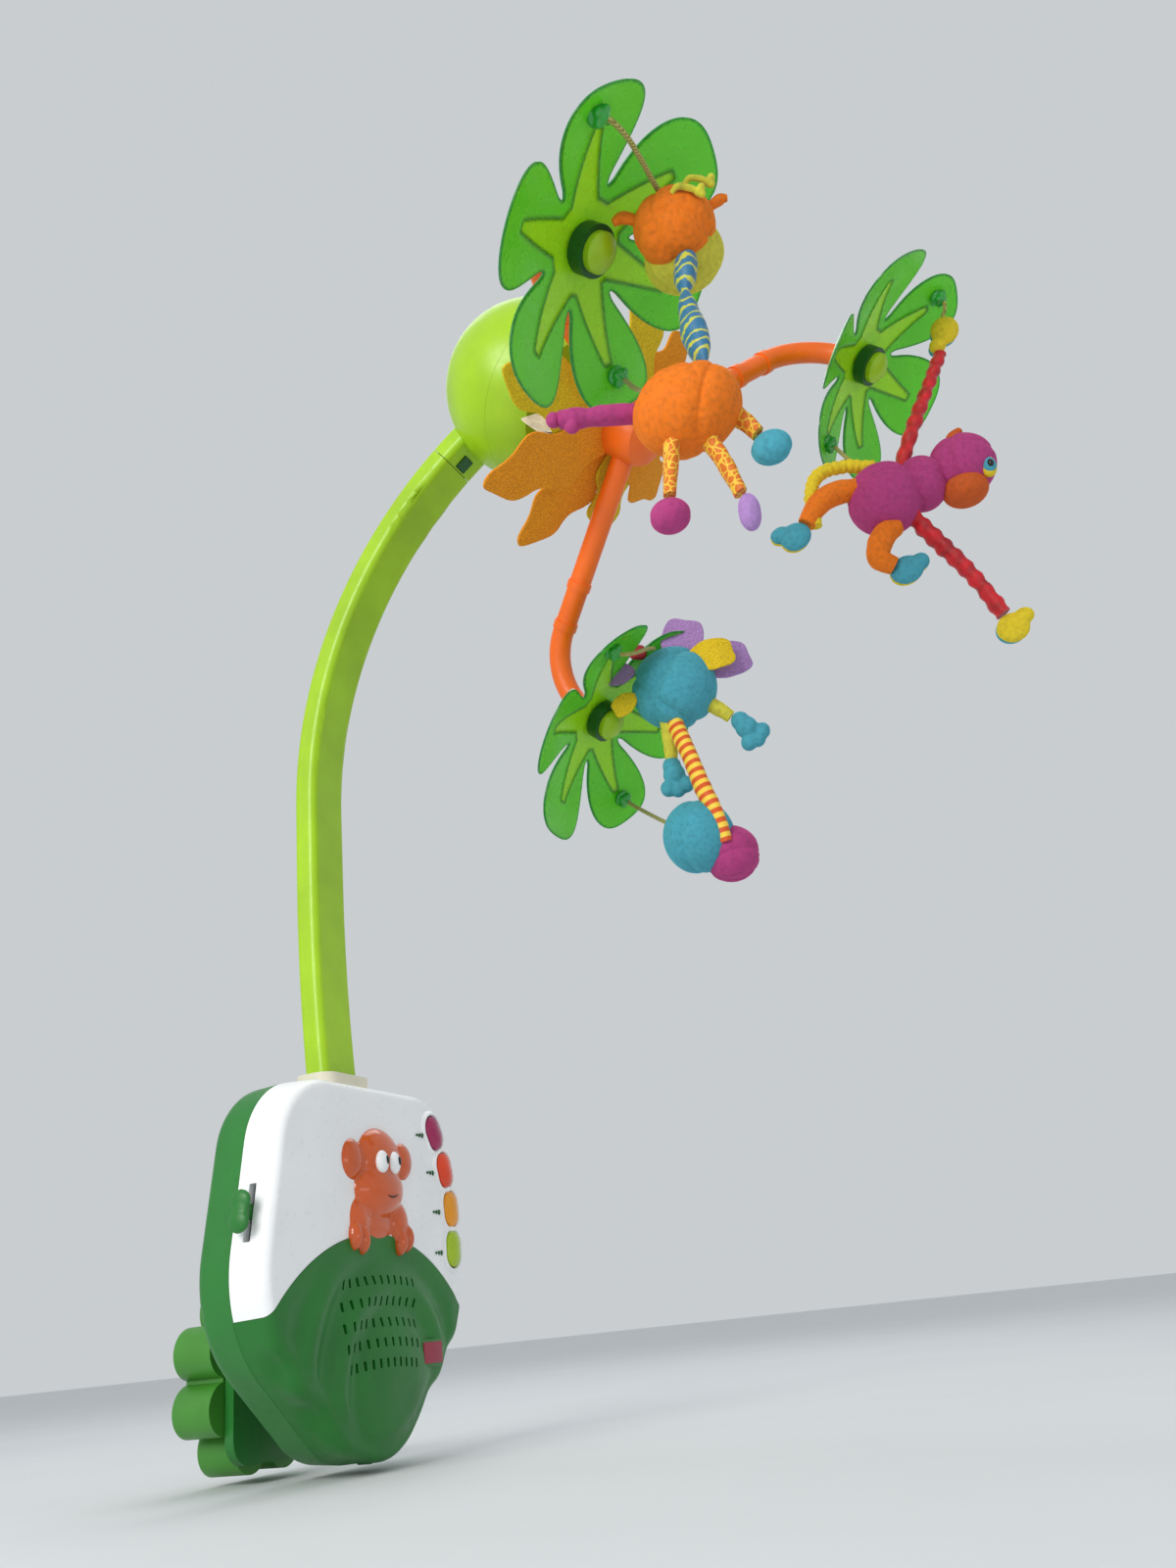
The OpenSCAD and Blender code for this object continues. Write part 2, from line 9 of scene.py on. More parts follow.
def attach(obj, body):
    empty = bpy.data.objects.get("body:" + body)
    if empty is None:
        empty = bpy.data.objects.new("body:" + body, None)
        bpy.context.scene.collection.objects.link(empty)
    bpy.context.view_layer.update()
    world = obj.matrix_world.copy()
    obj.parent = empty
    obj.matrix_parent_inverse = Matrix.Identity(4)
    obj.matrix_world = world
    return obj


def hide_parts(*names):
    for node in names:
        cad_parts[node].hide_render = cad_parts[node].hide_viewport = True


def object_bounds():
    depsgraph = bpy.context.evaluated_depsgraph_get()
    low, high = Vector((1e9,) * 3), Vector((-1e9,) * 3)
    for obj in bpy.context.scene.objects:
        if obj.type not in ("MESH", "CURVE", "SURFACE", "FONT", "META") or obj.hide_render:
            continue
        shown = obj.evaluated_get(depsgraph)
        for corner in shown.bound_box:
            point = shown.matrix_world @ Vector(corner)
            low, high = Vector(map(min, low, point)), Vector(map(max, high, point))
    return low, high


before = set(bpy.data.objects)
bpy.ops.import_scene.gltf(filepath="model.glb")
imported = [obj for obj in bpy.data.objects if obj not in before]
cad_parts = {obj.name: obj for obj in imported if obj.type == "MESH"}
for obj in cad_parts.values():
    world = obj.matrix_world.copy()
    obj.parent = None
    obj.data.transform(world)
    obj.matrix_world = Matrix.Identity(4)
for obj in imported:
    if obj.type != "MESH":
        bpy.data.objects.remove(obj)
cad_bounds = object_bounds()
MM = 0.001
scene = bpy.context.scene


def mm(x, y, z):
    """A point given in millimetres, in metres."""
    return Vector((x, y, z)) * MM


def put(name, data):
    """A new object with this data, in the scene."""
    piece = bpy.data.objects.new(name, data)
    scene.collection.objects.link(piece)
    return piece


def full_turn(count):
    """Evenly spaced angles round a full turn."""
    return [2 * math.pi * k / count for k in range(count)]


# ---- camera ----

CAMERA_TURN, CAMERA_RISE, CAMERA_ROLL = -66.64, -22.64, -6.02   # degrees
CAMERA_PLACE = mm(-560.5, -420.7, 7.2)
CAMERA_LENS = 29.6


def camera_axes():
    turn, rise, roll = (math.radians(v) for v in (CAMERA_TURN, CAMERA_RISE, CAMERA_ROLL))
    back = Vector((math.sin(turn) * math.cos(rise), -math.cos(turn) * math.cos(rise), math.sin(rise)))
    level = Vector((0, 0, 1)).cross(back).normalized()
    above = back.cross(level)
    right = math.cos(roll) * level + math.sin(roll) * above
    up = -math.sin(roll) * level + math.cos(roll) * above
    return right, up, back


def make_camera():
    right, up, back = camera_axes()
    data = bpy.data.cameras.new("camera")
    data.lens = CAMERA_LENS
    data.clip_start = 0.01
    camera = put("camera", data)
    axes = Matrix((right, up, back)).transposed().to_4x4()
    camera.matrix_world = Matrix.Translation(CAMERA_PLACE) @ axes
    scene.camera = camera


make_camera()


# ---- materials ----

def linear(colour):
    """sRGB from 0 to 255 as a linear colour."""
    parts = [c / 255 for c in colour]
    return tuple(p / 12.92 if p <= 0.04045 else ((p + 0.055) / 1.055) ** 2.4 for p in parts) + (1,)


def shade(colour, factor):
    return tuple(min(255, c * factor) for c in colour)


class Look:
    """A Principled material and the nodes that give it detail."""

    def __init__(self, name, **constants):
        self.material = bpy.data.materials.new(name)
        self.material.use_nodes = True
        self.tree = self.material.node_tree
        self.shader = self.tree.nodes["Principled BSDF"]
        for key, value in constants.items():
            self.shader.inputs[key.replace("_", " ")].default_value = value
        self.place = self.node("ShaderNodeTexCoord").outputs["Object"]

    def node(self, kind, **settings):
        made = self.tree.nodes.new(kind)
        for key, value in settings.items():
            setattr(made, key, value)
        return made

    def link(self, source, target):
        self.tree.links.new(source, target)

    def noise(self, scale, detail=3.0, stretch=None):
        made = self.node("ShaderNodeTexNoise")
        made.inputs["Scale"].default_value = scale
        made.inputs["Detail"].default_value = detail
        if stretch:
            mapping = self.node("ShaderNodeMapping")
            mapping.inputs["Scale"].default_value = stretch
            self.link(self.place, mapping.inputs["Vector"])
            self.link(mapping.outputs["Vector"], made.inputs["Vector"])
        else:
            self.link(self.place, made.inputs["Vector"])
        return made.outputs["Fac"]

    def cells(self, scale, feature="F1"):
        made = self.node("ShaderNodeTexVoronoi", feature=feature)
        made.inputs["Scale"].default_value = scale
        self.link(self.place, made.inputs["Vector"])
        return made.outputs["Distance"]

    def attribute(self, name):
        return self.node("ShaderNodeAttribute", attribute_name=name).outputs["Fac"]

    def ramp(self, source, stops):
        made = self.node("ShaderNodeValToRGB")
        ramp = made.color_ramp
        while len(ramp.elements) < len(stops):
            ramp.elements.new(0.5)
        for element, (place, colour) in zip(ramp.elements, stops):
            element.position = place
            element.color = linear(colour)
        self.link(source, made.inputs["Fac"])
        return made.outputs["Color"]

    def grey_ramp(self, source, low, high, start=0.3, stop=0.7):
        made = self.node("ShaderNodeMapRange")
        for key, value in (("From Min", start), ("From Max", stop), ("To Min", low), ("To Max", high)):
            made.inputs[key].default_value = value
        self.link(source, made.inputs["Value"])
        return made.outputs["Result"]

    def math(self, operation, first, second=0.0):
        made = self.node("ShaderNodeMath", operation=operation)
        for slot, value in zip(made.inputs, (first, second)):
            if isinstance(value, (int, float)):
                slot.default_value = value
            else:
                self.link(value, slot)
        return made.outputs["Value"]

    def mix(self, factor, first, second):
        made = self.node("ShaderNodeMix", data_type="RGBA")
        self.link(factor, made.inputs[0])
        for slot, value in ((made.inputs[6], first), (made.inputs[7], second)):
            if isinstance(value, tuple):
                slot.default_value = linear(value)
            else:
                self.link(value, slot)
        return made.outputs[2]

    def colour(self, source):
        self.link(source, self.shader.inputs["Base Color"])

    def roughness(self, source):
        self.link(source, self.shader.inputs["Roughness"])

    def bump(self, source, strength, distance):
        made = self.node("ShaderNodeBump")
        made.inputs["Strength"].default_value = strength
        made.inputs["Distance"].default_value = distance
        self.link(source, made.inputs["Height"])
        previous = self.shader.inputs["Normal"]
        if previous.is_linked:
            self.link(previous.links[0].from_socket, made.inputs["Normal"])
        self.link(made.outputs["Normal"], previous)


def plastic(name, colour, gloss=0.3, grain=0.05, uneven=0.05, **constants):
    """Moulded plastic: a faint mottle, uneven gloss, and a fine grain with slow sink marks."""
    look = Look(name, **constants)
    mottle = look.noise(30, 4)
    look.colour(look.ramp(mottle, [(0.3, shade(colour, 1 - uneven)), (0.7, shade(colour, 1 + uneven))]))
    look.roughness(look.grey_ramp(look.noise(220, 4), gloss - 0.05, gloss + 0.08))
    look.bump(look.noise(2600, 2), grain, 0.00006)
    look.bump(look.noise(45, 1), 0.06, 0.0004)
    return look.material


def fleece(name, colour):
    """Brushed fleece: soft nap in tufts, with short fibres and a pale sheen."""
    look = Look(name, Sheen_Weight=0.55, Sheen_Roughness=0.45, Sheen_Tint=linear(shade(colour, 1.25)))
    tufts = look.noise(420, 5)
    look.colour(look.ramp(tufts, [(0.2, shade(colour, 0.86)), (0.5, colour), (0.85, shade(colour, 1.07))]))
    look.roughness(look.grey_ramp(look.noise(300, 3), 0.82, 0.97))
    look.bump(tufts, 0.22, 0.0004)
    look.bump(look.noise(2600, 3), 0.3, 0.00015)
    look.bump(look.noise(70, 2), 0.25, 0.001)
    return look.material


def felt_look(name, colour):
    look = Look(name, Sheen_Weight=0.35, Sheen_Roughness=0.5, Sheen_Tint=linear(shade(colour, 1.2)))
    fibres = look.noise(900, 6, stretch=(1, 1.9, 1.3))
    look.colour(look.ramp(fibres, [(0.3, shade(colour, 0.78)), (0.7, shade(colour, 1.1))]))
    look.roughness(look.grey_ramp(look.noise(400, 3), 0.85, 0.98))
    look.bump(fibres, 0.5, 0.0004)
    look.bump(look.noise(140, 3), 0.3, 0.0008)
    return look.material


def woven(name, colour, sheen, pattern=None, weave=1700, gloss=0.45):
    """Woven cloth with crossed threads; satin has more gloss and finer threads."""
    look = Look(name, Sheen_Weight=sheen, Sheen_Roughness=0.3)
    warp = look.node("ShaderNodeTexWave", bands_direction="X")
    weft = look.node("ShaderNodeTexWave", bands_direction="Z")
    for threads in (warp, weft):
        threads.inputs["Scale"].default_value = weave
        threads.inputs["Distortion"].default_value = 1.2
        look.link(look.place, threads.inputs["Vector"])
    cloth = look.math("MULTIPLY", warp.outputs["Fac"], weft.outputs["Fac"])
    mottle = look.noise(160, 4)
    tone = look.ramp(mottle, [(0.3, shade(colour, 0.8)), (0.7, shade(colour, 1.12))])
    look.colour(pattern(look) if pattern else tone)
    look.roughness(look.grey_ramp(mottle, gloss - 0.08, gloss + 0.14))
    look.bump(cloth, 0.3, 0.00012)
    look.bump(look.noise(260, 4), 0.45, 0.0007)
    return look.material


def bands(first, second, period, edge=0.05, wander=0.0, share=0.25):
    """Stripes across a tube, by the distance along it in millimetres."""
    def paint(look):
        along = look.attribute("along")
        if wander:
            drift = look.math("MULTIPLY", look.noise(150, 2), wander)
            along = look.math("ADD", along, drift)
        turns = look.math("FRACT", look.math("DIVIDE", along, period))
        stripe = look.grey_ramp(look.math("PINGPONG", turns, 0.5), 0, 1, share - edge, share + edge)
        return look.mix(stripe, first, second)
    return paint


def giraffe_print(look):
    """Yellow lines between orange patches."""
    edge = look.cells(330, "DISTANCE_TO_EDGE")
    return look.mix(look.grey_ramp(edge, 1, 0, 0.05, 0.12), (214, 112, 22), (236, 196, 52))


WHITE, LIME, GREEN = (246, 247, 248), (160, 202, 20), (24, 112, 34)
KNOB_GREEN, SEAM_GREEN = (66, 138, 44), (34, 118, 42)
ORANGE, MAGENTA, TEAL, LILAC = (230, 116, 12), (170, 56, 118), (66, 152, 170), (166, 128, 188)
YELLOW, RED = (222, 196, 36), (196, 16, 30)

LOOKS = {
    "white": plastic("white_plastic", WHITE, 0.3, 0.02, 0.012),
    "lime": plastic("lime_plastic", LIME, 0.34, Subsurface_Weight=0.06),
    "green": plastic("green_plastic", GREEN, 0.36, 0.08),
    "rear_green": plastic("rear_green_plastic", SEAM_GREEN, 0.4, 0.08),
    "knob": plastic("knob_green", KNOB_GREEN, 0.42, 0.08),
    "dark_green": plastic("dark_green_plastic", (12, 84, 30), 0.3),
    "relief": plastic("relief_orange", (206, 84, 8), 0.16, 0.01, Coat_Weight=0.6),
    "magenta_button": plastic("magenta_plastic", (164, 30, 86), 0.22, 0.02),
    "orange_button": plastic("orange_plastic", (226, 66, 22), 0.22, 0.02),
    "amber_button": plastic("amber_plastic", (240, 156, 24), 0.22, 0.02),
    "lime_button": plastic("lime_button_plastic", (166, 196, 30), 0.22, 0.02),
    "tube": plastic("orange_tube_plastic", (248, 106, 14), 0.4, Subsurface_Weight=0.08),
    "ivory": plastic("ivory_rubber", (226, 220, 198), 0.6, 0.15),
    "black": plastic("black_gloss", (16, 14, 16), 0.15, 0.01),
    "line": plastic("smile_line", (60, 22, 8), 0.5),
    "badge": plastic("badge_plate", (150, 40, 62), 0.4),
    "steel": plastic("steel", (170, 172, 176), 0.3, 0.2, Metallic=1.0),
    "battery": plastic("battery", (70, 72, 78), 0.35),
    "board": plastic("board", (20, 80, 50), 0.5),
    "speaker": plastic("speaker_body", (48, 48, 50), 0.6),
    "gear": plastic("gear_plastic", (232, 230, 222), 0.45),
    "orange_fleece": fleece("orange_fleece", ORANGE),
    "magenta_fleece": fleece("magenta_fleece", MAGENTA),
    "teal_fleece": fleece("teal_fleece", TEAL),
    "lilac_fleece": fleece("lilac_fleece", LILAC),
    "lime_fleece": fleece("lime_fleece", (196, 190, 60)),
    "yellow_fleece": fleece("yellow_fleece", YELLOW),
    "rust_fleece": fleece("rust_fleece", (196, 86, 26)),
    "orange_felt": felt_look("orange_felt", (252, 148, 20)),
    "yellow_felt": felt_look("yellow_felt", (222, 188, 22)),
    "lilac_felt": felt_look("lilac_felt", LILAC),
    "red_felt": felt_look("red_felt", (140, 26, 36)),
    "tag": woven("tag_fabric", (226, 218, 192), 0.1, weave=2600, gloss=0.7),
    "red_satin": woven("red_satin", RED, 0.4),
    "zebra": woven("blue_satin", (50, 120, 160), 0.3,
                   bands((44, 112, 152), (196, 196, 66), 5.4, wander=9.0, share=0.36)),
    "stripes": woven("striped_cotton", (220, 90, 20), 0.2,
                     bands((216, 84, 22), (246, 208, 66), 5.2), gloss=0.6),
    "giraffe_print": woven("giraffe_print", ORANGE, 0.2, giraffe_print, gloss=0.6),
}


def leaf_look():
    """Translucent moulded plastic, darker along the rims; the brighter, yellower colour inside the star is
    painted light shining through the leaf.
    """
    look = Look("leaf_plastic", Transmission_Weight=0.16, IOR=1.45, Subsurface_Weight=0.5,
                Subsurface_Radius=(0.4, 1.0, 0.25), Subsurface_Scale=0.005)
    mottle = look.ramp(look.noise(30, 2), [(0.3, (104, 204, 40)), (0.7, (114, 212, 48))])
    # Painted light: inside the star the colour is brighter and yellower, in place of light shining through the
    # leaf.
    inside = look.mix(look.attribute("star"), mottle, (172, 224, 30))
    lined = look.mix(look.attribute("line"), inside, (28, 124, 26))
    look.colour(look.mix(look.attribute("rim"), lined, (30, 124, 50)))
    look.roughness(look.grey_ramp(look.noise(160, 3), 0.24, 0.34))
    look.bump(look.noise(40, 1), 0.08, 0.0004)
    return look.material


def yarn_look():
    """Two strands twisted together."""
    look = Look("cord_yarn", Sheen_Weight=0.2)
    twist = look.node("ShaderNodeTexWave", bands_direction="DIAGONAL")
    twist.inputs["Scale"].default_value = 420
    twist.inputs["Distortion"].default_value = 2.0
    look.link(look.place, twist.inputs["Vector"])
    look.colour(look.ramp(twist.outputs["Fac"], [(0.1, (128, 118, 50)), (0.8, (190, 184, 98))]))
    look.roughness(look.grey_ramp(look.noise(500, 3), 0.7, 0.9))
    look.bump(twist.outputs["Fac"], 0.7, 0.0003)
    look.bump(look.noise(3000, 2), 0.4, 0.0001)
    return look.material


LOOKS["leaf"] = leaf_look()
LOOKS["boss"] = plastic("boss_green", (34, 168, 52), 0.1, 0.01, Transmission_Weight=0.15, Coat_Weight=0.5)
LOOKS["yarn"] = yarn_look()
LOOKS["horn_yarn"] = woven("horn_yarn", (206, 200, 56), 0.3, weave=900, gloss=0.8)


# ---- cords ----

CORD_DIAMETER = 0.0024
CORD_ROUTES = {
    "cord_1a": ("giraffe", [
        (-0.2032, -0.304, 0.4502), (-0.199, -0.3065, 0.4494), (-0.19, -0.3085, 0.4488),
        (-0.178, -0.309, 0.4485), (-0.167, -0.309, 0.4482), (-0.1595, -0.3093, 0.4479)]),
    "cord_1b": ("giraffe", [
        (-0.1055, -0.263, 0.4082), (-0.1065, -0.2655, 0.404), (-0.112, -0.2705, 0.3945),
        (-0.121, -0.2785, 0.382), (-0.132, -0.2875, 0.3675), (-0.1424, -0.2948, 0.3538)]),
    "cord_2a": ("monkey", [
        (0.0954, -0.4006, 0.5503), (0.0975, -0.4006, 0.5453), (0.102, -0.3955, 0.539),
        (0.1056, -0.3903, 0.531), (0.1046, -0.3894, 0.5245), (0.1005, -0.3908, 0.519)]),
    "cord_2b": ("monkey", [
        (0.0841, -0.3216, 0.4689), (0.084, -0.324, 0.4645), (0.0825, -0.328, 0.4565),
        (0.0805, -0.3325, 0.447), (0.079, -0.336, 0.4383)]),
    "cord_3a": ("bird", [
        (0.0165, -0.1968, 0.3394), (0.0185, -0.2, 0.3388), (0.025, -0.203, 0.3415),
        (0.032, -0.205, 0.3455), (0.039, -0.2065, 0.3495), (0.046, -0.2075, 0.3525)]),
    "cord_3b": ("bird", [
        (0.1126, -0.1541, 0.2954), (0.1116, -0.1575, 0.2918), (0.105, -0.167, 0.283),
        (0.096, -0.178, 0.273), (0.087, -0.1885, 0.2638), (0.077, -0.1993, 0.255)]),
}


def smooth_route(points, steps=4):
    """A rounder line through the same points."""
    points = [Vector(p) for p in points]
    ends = [2 * points[0] - points[1]] + points + [2 * points[-1] - points[-2]]
    line = []
    for a, b, c, d in zip(ends, ends[1:], ends[2:], ends[3:]):
        for k in range(steps):
            t = k / steps
            line.append(0.5 * (2 * b + (c - a) * t + (2 * a - 5 * b + 4 * c - d) * t * t
                               + (3 * b - a - 3 * c + d) * t ** 3))
    return line + [points[-1]]


def line_length(line):
    return sum((b - a).length for a, b in zip(line, line[1:]))


def curve_piece(name, line, radius, look):
    data = bpy.data.curves.new(name, "CURVE")
    data.dimensions = "3D"
    data.bevel_depth = radius
    data.bevel_resolution = 4
    data.use_fill_caps = True
    spline = data.splines.new("POLY")
    spline.points.add(len(line) - 1)
    for point, place in zip(spline.points, line):
        point.co = (*place, 1)
    spline.use_smooth = True
    data.materials.append(LOOKS[look])
    return put(name, data)


def make_cords():
    for node, (body, points) in CORD_ROUTES.items():
        line = smooth_route(points)
        piece = curve_piece(node + "_yarn", line, CORD_DIAMETER / 2, "yarn")
        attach(piece, body)
        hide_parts(node)
        line_length(line)


make_cords()


# ---- mesh helpers ----


def mesh_piece(name, points, faces, look):
    mesh = bpy.data.meshes.new(name)
    mesh.from_pydata([tuple(p) for p in points], [], faces)
    mesh.validate()
    piece = put(name, mesh)
    mesh.materials.append(LOOKS[look])
    soften(piece)
    return piece


def soften(piece, angle=38):
    """Smooth shading, with edges sharper than the angle left crisp."""
    piece.data.shade_smooth()
    piece.data.set_sharp_from_angle(angle=math.radians(angle))


def seat(piece, body, look, *replaced):
    """Puts a finished piece on its body and the nodes that it stands for."""
    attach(piece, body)
    if replaced:
        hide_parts(*replaced)
    return piece


def apply_modifiers(piece):
    graph = bpy.context.evaluated_depsgraph_get()
    mesh = bpy.data.meshes.new_from_object(piece.evaluated_get(graph))
    piece.modifiers.clear()
    piece.data = mesh
    return piece


def carve(piece, cutters, operation="DIFFERENCE"):
    """Cuts with scratch pieces, and removes them."""
    for cutter in cutters:
        made = piece.modifiers.new("carve", "BOOLEAN")
        made.object = cutter
        made.operation = operation
        made.solver = "EXACT"
    apply_modifiers(piece)
    for cutter in cutters:
        bpy.data.objects.remove(cutter)
    soften(piece)
    return piece


def loft(rings):
    """Closed skin through rings of the same count, with a fan over each end."""
    count = len(rings[0])
    points = [p for ring in rings for p in ring]
    faces = []
    for i in range(len(rings) - 1):
        for k in range(count):
            after = (k + 1) % count
            faces.append((i * count + k, i * count + after, (i + 1) * count + after, (i + 1) * count + k))
    for ring, first, turn in ((rings[0], 0, -1), (rings[-1], (len(rings) - 1) * count, 1)):
        centre = len(points)
        points.append(sum(ring, Vector()) / count)
        for k in range(count):
            pair = (first + k, first + (k + 1) % count)
            faces.append((centre, *pair[::turn]))
    return points, faces


def outward(piece):
    work = bmesh.new()
    work.from_mesh(piece.data)
    bmesh.ops.recalc_face_normals(work, faces=work.faces)
    work.to_mesh(piece.data)
    work.free()
    return piece


def prism(outline, y0, y1, name="cutter", look="white"):
    """A straight form from a front-view outline [(x, z)] in millimetres."""
    rings = [[mm(x, y, z) for x, z in outline] for y in (y0, y1)]
    return outward(mesh_piece(name, *loft(rings), look))


def bmesh_piece(name, work, look):
    mesh = bpy.data.meshes.new(name)
    work.to_mesh(mesh)
    work.free()
    mesh.materials.append(LOOKS[look])
    return put(name, mesh)


def brick(name, size, look, bevel=0.8, place=Matrix()):
    """A rounded block, size in millimetres, set by a matrix."""
    work = bmesh.new()
    bmesh.ops.create_cube(work, size=1.0, matrix=place @ Matrix.Diagonal((*(s * MM for s in size), 1)))
    piece = bmesh_piece(name, work, look)
    made = piece.modifiers.new("edges", "BEVEL")
    made.width = bevel * MM
    made.segments = 4
    apply_modifiers(piece)
    soften(piece, 60)
    return piece


def blobs(name, parts, look, voxel=1.0, smooth=8):
    """Rounded lumps [(centre, radii)] in millimetres, melted into one skin."""
    work = bmesh.new()
    for centre, radii in parts:
        radii = (radii,) * 3 if isinstance(radii, (int, float)) else radii
        place = Matrix.Translation(mm(*centre)) @ Matrix.Diagonal((*(r * MM for r in radii), 1))
        bmesh.ops.create_icosphere(work, subdivisions=4, radius=1, matrix=place)
    piece = bmesh_piece(name, work, look)
    remesh = piece.modifiers.new("melt", "REMESH")
    remesh.mode = "VOXEL"
    remesh.voxel_size = voxel * MM
    if smooth:
        relax = piece.modifiers.new("relax", "SMOOTH")
        relax.iterations = smooth
    apply_modifiers(piece)
    piece.data.shade_smooth()
    return piece


def lump(name, body, parts, look, voxel, smooth, *replaced):
    """Melted lumps, finished and on their body."""
    return seat(blobs(name, parts, look, voxel, smooth), body, look, *replaced)


def tint(piece, name, values):
    """One number per point, for the material to read."""
    piece.data.attributes.new(name, "FLOAT", "POINT").data.foreach_set("value", values)


def tube(name, line, radii, look, sides=20, flat=1.0, twist=0.0):
    """A tube of changing radius along a line, with the distance along it as an attribute in millimetres."""
    count = len(line)
    rings, along, gone = [], [], 0.0
    side = None
    for i, point in enumerate(line):
        ahead = (line[min(i + 1, count - 1)] - line[max(i - 1, 0)]).normalized()
        if side is None:
            side = ahead.orthogonal().normalized()
        side = (side - ahead * side.dot(ahead)).normalized()
        across = ahead.cross(side)
        if i:
            gone += (point - line[i - 1]).length / MM
        turn = math.radians(twist) * i / (count - 1)
        ring = []
        for angle in (a + turn for a in full_turn(sides)):
            ring.append(point + radii[i] * MM * (math.cos(angle) * side + flat * math.sin(angle) * across))
        rings.append(ring)
        along += [gone] * sides
    points, faces = loft(rings)
    piece = outward(mesh_piece(name, points, faces, look))
    tint(piece, "along", along + [0.0, gone])
    piece.data.shade_smooth()
    return piece


# ---- music box ----

BOX_UP, FRONT, SEAM = 38, -40, -20
BOX_CIRCLES = [(44, 60, 33), (-37, 55, 38), (26, 4, 58), (-26, 4, 58), (0, -35, 45)]
BOX_CENTRE = (0, 8)
HILL = (-2, -85, 105)                      # x, z from the box's centre, radius
BULGE = (12, -50, 34)
BUTTONS = [(57, 73, 32), (66, 54, 18), (70.5, 34, 6), (71, 13.5, -2)]
BUTTON_WIDTH, BUTTON_HEIGHT = 13, 18
SLIDER_DEPTH = -28
SLOT_SIZE = (30, 3.8, 25.6)                # through the shell's left side
SCREW_PLACES = ((-50, 30), (50, 30), (-34, -52), (34, -52))
BUTTON_LOOKS = ("magenta_button", "orange_button", "amber_button", "lime_button")
SPEAKER_ROWS = [(-1, 30), (-10.5, 31.5), (-20, 32), (-29, 31), (-38, 27)]


def box_line(count=260):
    """Points and outward normals round the box's front view."""
    dense = []
    for angle in full_turn(1440):
        normal = Vector((math.cos(angle), math.sin(angle)))
        reach = [(Vector((x, z)).dot(normal) + r, x, z, r) for x, z, r in BOX_CIRCLES]
        _, x, z, r = max(reach)
        dense.append((Vector((x, z)) + r * normal, normal))
    dense.append(dense[0])
    steps = [(b[0] - a[0]).length for a, b in zip(dense, dense[1:])]
    step, line, gone, i = sum(steps) / count, [], 0.0, 0
    for k in range(count):
        target = k * step
        while gone + steps[i] < target:
            gone += steps[i]
            i += 1
        t = (target - gone) / steps[i] if steps[i] else 0.0
        line.append((dense[i][0].lerp(dense[i + 1][0], t), dense[i][1].lerp(dense[i + 1][1], t)))
    return line


BOX_LINE = box_line()


def smooth_step(value):
    value = min(1.0, max(0.0, value))
    return value * value * (3 - 2 * value)


def hill_height(x, z):
    """How far the hill stands proud: a big bulge low down, and ridges round it."""
    reach = math.hypot(x - BULGE[0], (z - BULGE[1]) * 0.92)
    inside = HILL[2] - math.hypot(x - HILL[0], z - HILL[1])
    bulge = 4.6 * smooth_step(1.25 - reach / BULGE[2])
    ridge = 1.9 * math.cos(2 * math.pi * (reach - BULGE[2] * 1.28) / 25)
    return bulge + ridge * smooth_step((reach - 24) / 16) * smooth_step(inside / 22) + 0.5


def box_ring(inset, y, proud=None, share=1.0):
    ring = []
    middle = Vector(BOX_CENTRE)
    for point, normal in BOX_LINE:
        out = -inset
        if proud:
            out += 0.9 * (proud(point.x, point.y) - 0.5)
        place = middle + (point + normal * out - middle) * share
        ring.append(mm(place.x, y, BOX_UP + place.y))
    return ring


def face_rings(inset, y, proud, steps):
    """Rings over the front face, from the crease in to the middle."""
    rings = []
    middle = Vector(BOX_CENTRE)
    for k in range(1, steps):
        share = 1 - (k / steps) ** 0.9
        ring = []
        for point, normal in BOX_LINE:
            edge = point - normal * inset
            place = middle + (edge - middle) * share
            crown = 1.1 * (1 - share ** 2)
            lift = proud(place.x, place.y) * smooth_step(k / 3) if proud else 0
            ring.append(mm(place.x, y - crown - lift, BOX_UP + place.y))
        rings.append(ring)
    return rings


def case_blank(name, look, seam, back, front, fillet, proud=None, steps=34):
    """A cup: inner face, rim at the seam, outer side, rounded crease and outer face."""
    turn = 1 if front < seam else -1
    inner = front + turn * 2.4
    rings = [box_ring(9, inner, share=k / 6) for k in range(1, 7)] + [box_ring(5.5, inner + turn * 3)]
    rings += [box_ring(3.4, seam), box_ring(0.3, seam), box_ring(0, seam - turn * 0.4)]
    rings += [box_ring(0.2 * k, seam + (back - seam) * k / 4, proud if k > 2 else None) for k in range(1, 5)]
    for k in range(1, 9):
        angle = math.pi / 2 * k / 8
        inset = 0.8 + fillet * (1 - math.cos(angle))
        y = back + (front - back) * math.sin(angle)
        rings.append(box_ring(inset, y, proud))
    rings += face_rings(0.8 + fillet, front, proud, steps)
    return outward(mesh_piece(name, *loft(rings), look))


def oval_line(x, z, lean, width, height, count=48):
    """An upright oval with straight sides, leaning, in the box's front view."""
    line = []
    for angle in full_turn(count):
        u = width / 2 * math.cos(angle)
        v = width / 2 * math.sin(angle) + math.copysign((height - width) / 2, math.sin(angle))
        tilt = math.radians(lean)
        line.append((x + u * math.cos(tilt) - v * math.sin(tilt),
                     BOX_UP + z + u * math.sin(tilt) + v * math.cos(tilt)))
    return line


def hill_line(grow=0.0, count=200):
    return [(HILL[0] + (HILL[2] + grow) * math.cos(a), BOX_UP + HILL[1] + (HILL[2] + grow) * math.sin(a))
            for a in full_turn(count)]


def arm_notch():
    return brick("notch", (29.8, 15.8, 60), "white", 0.1, Matrix.Translation(mm(0, -16.7, BOX_UP + 93)))


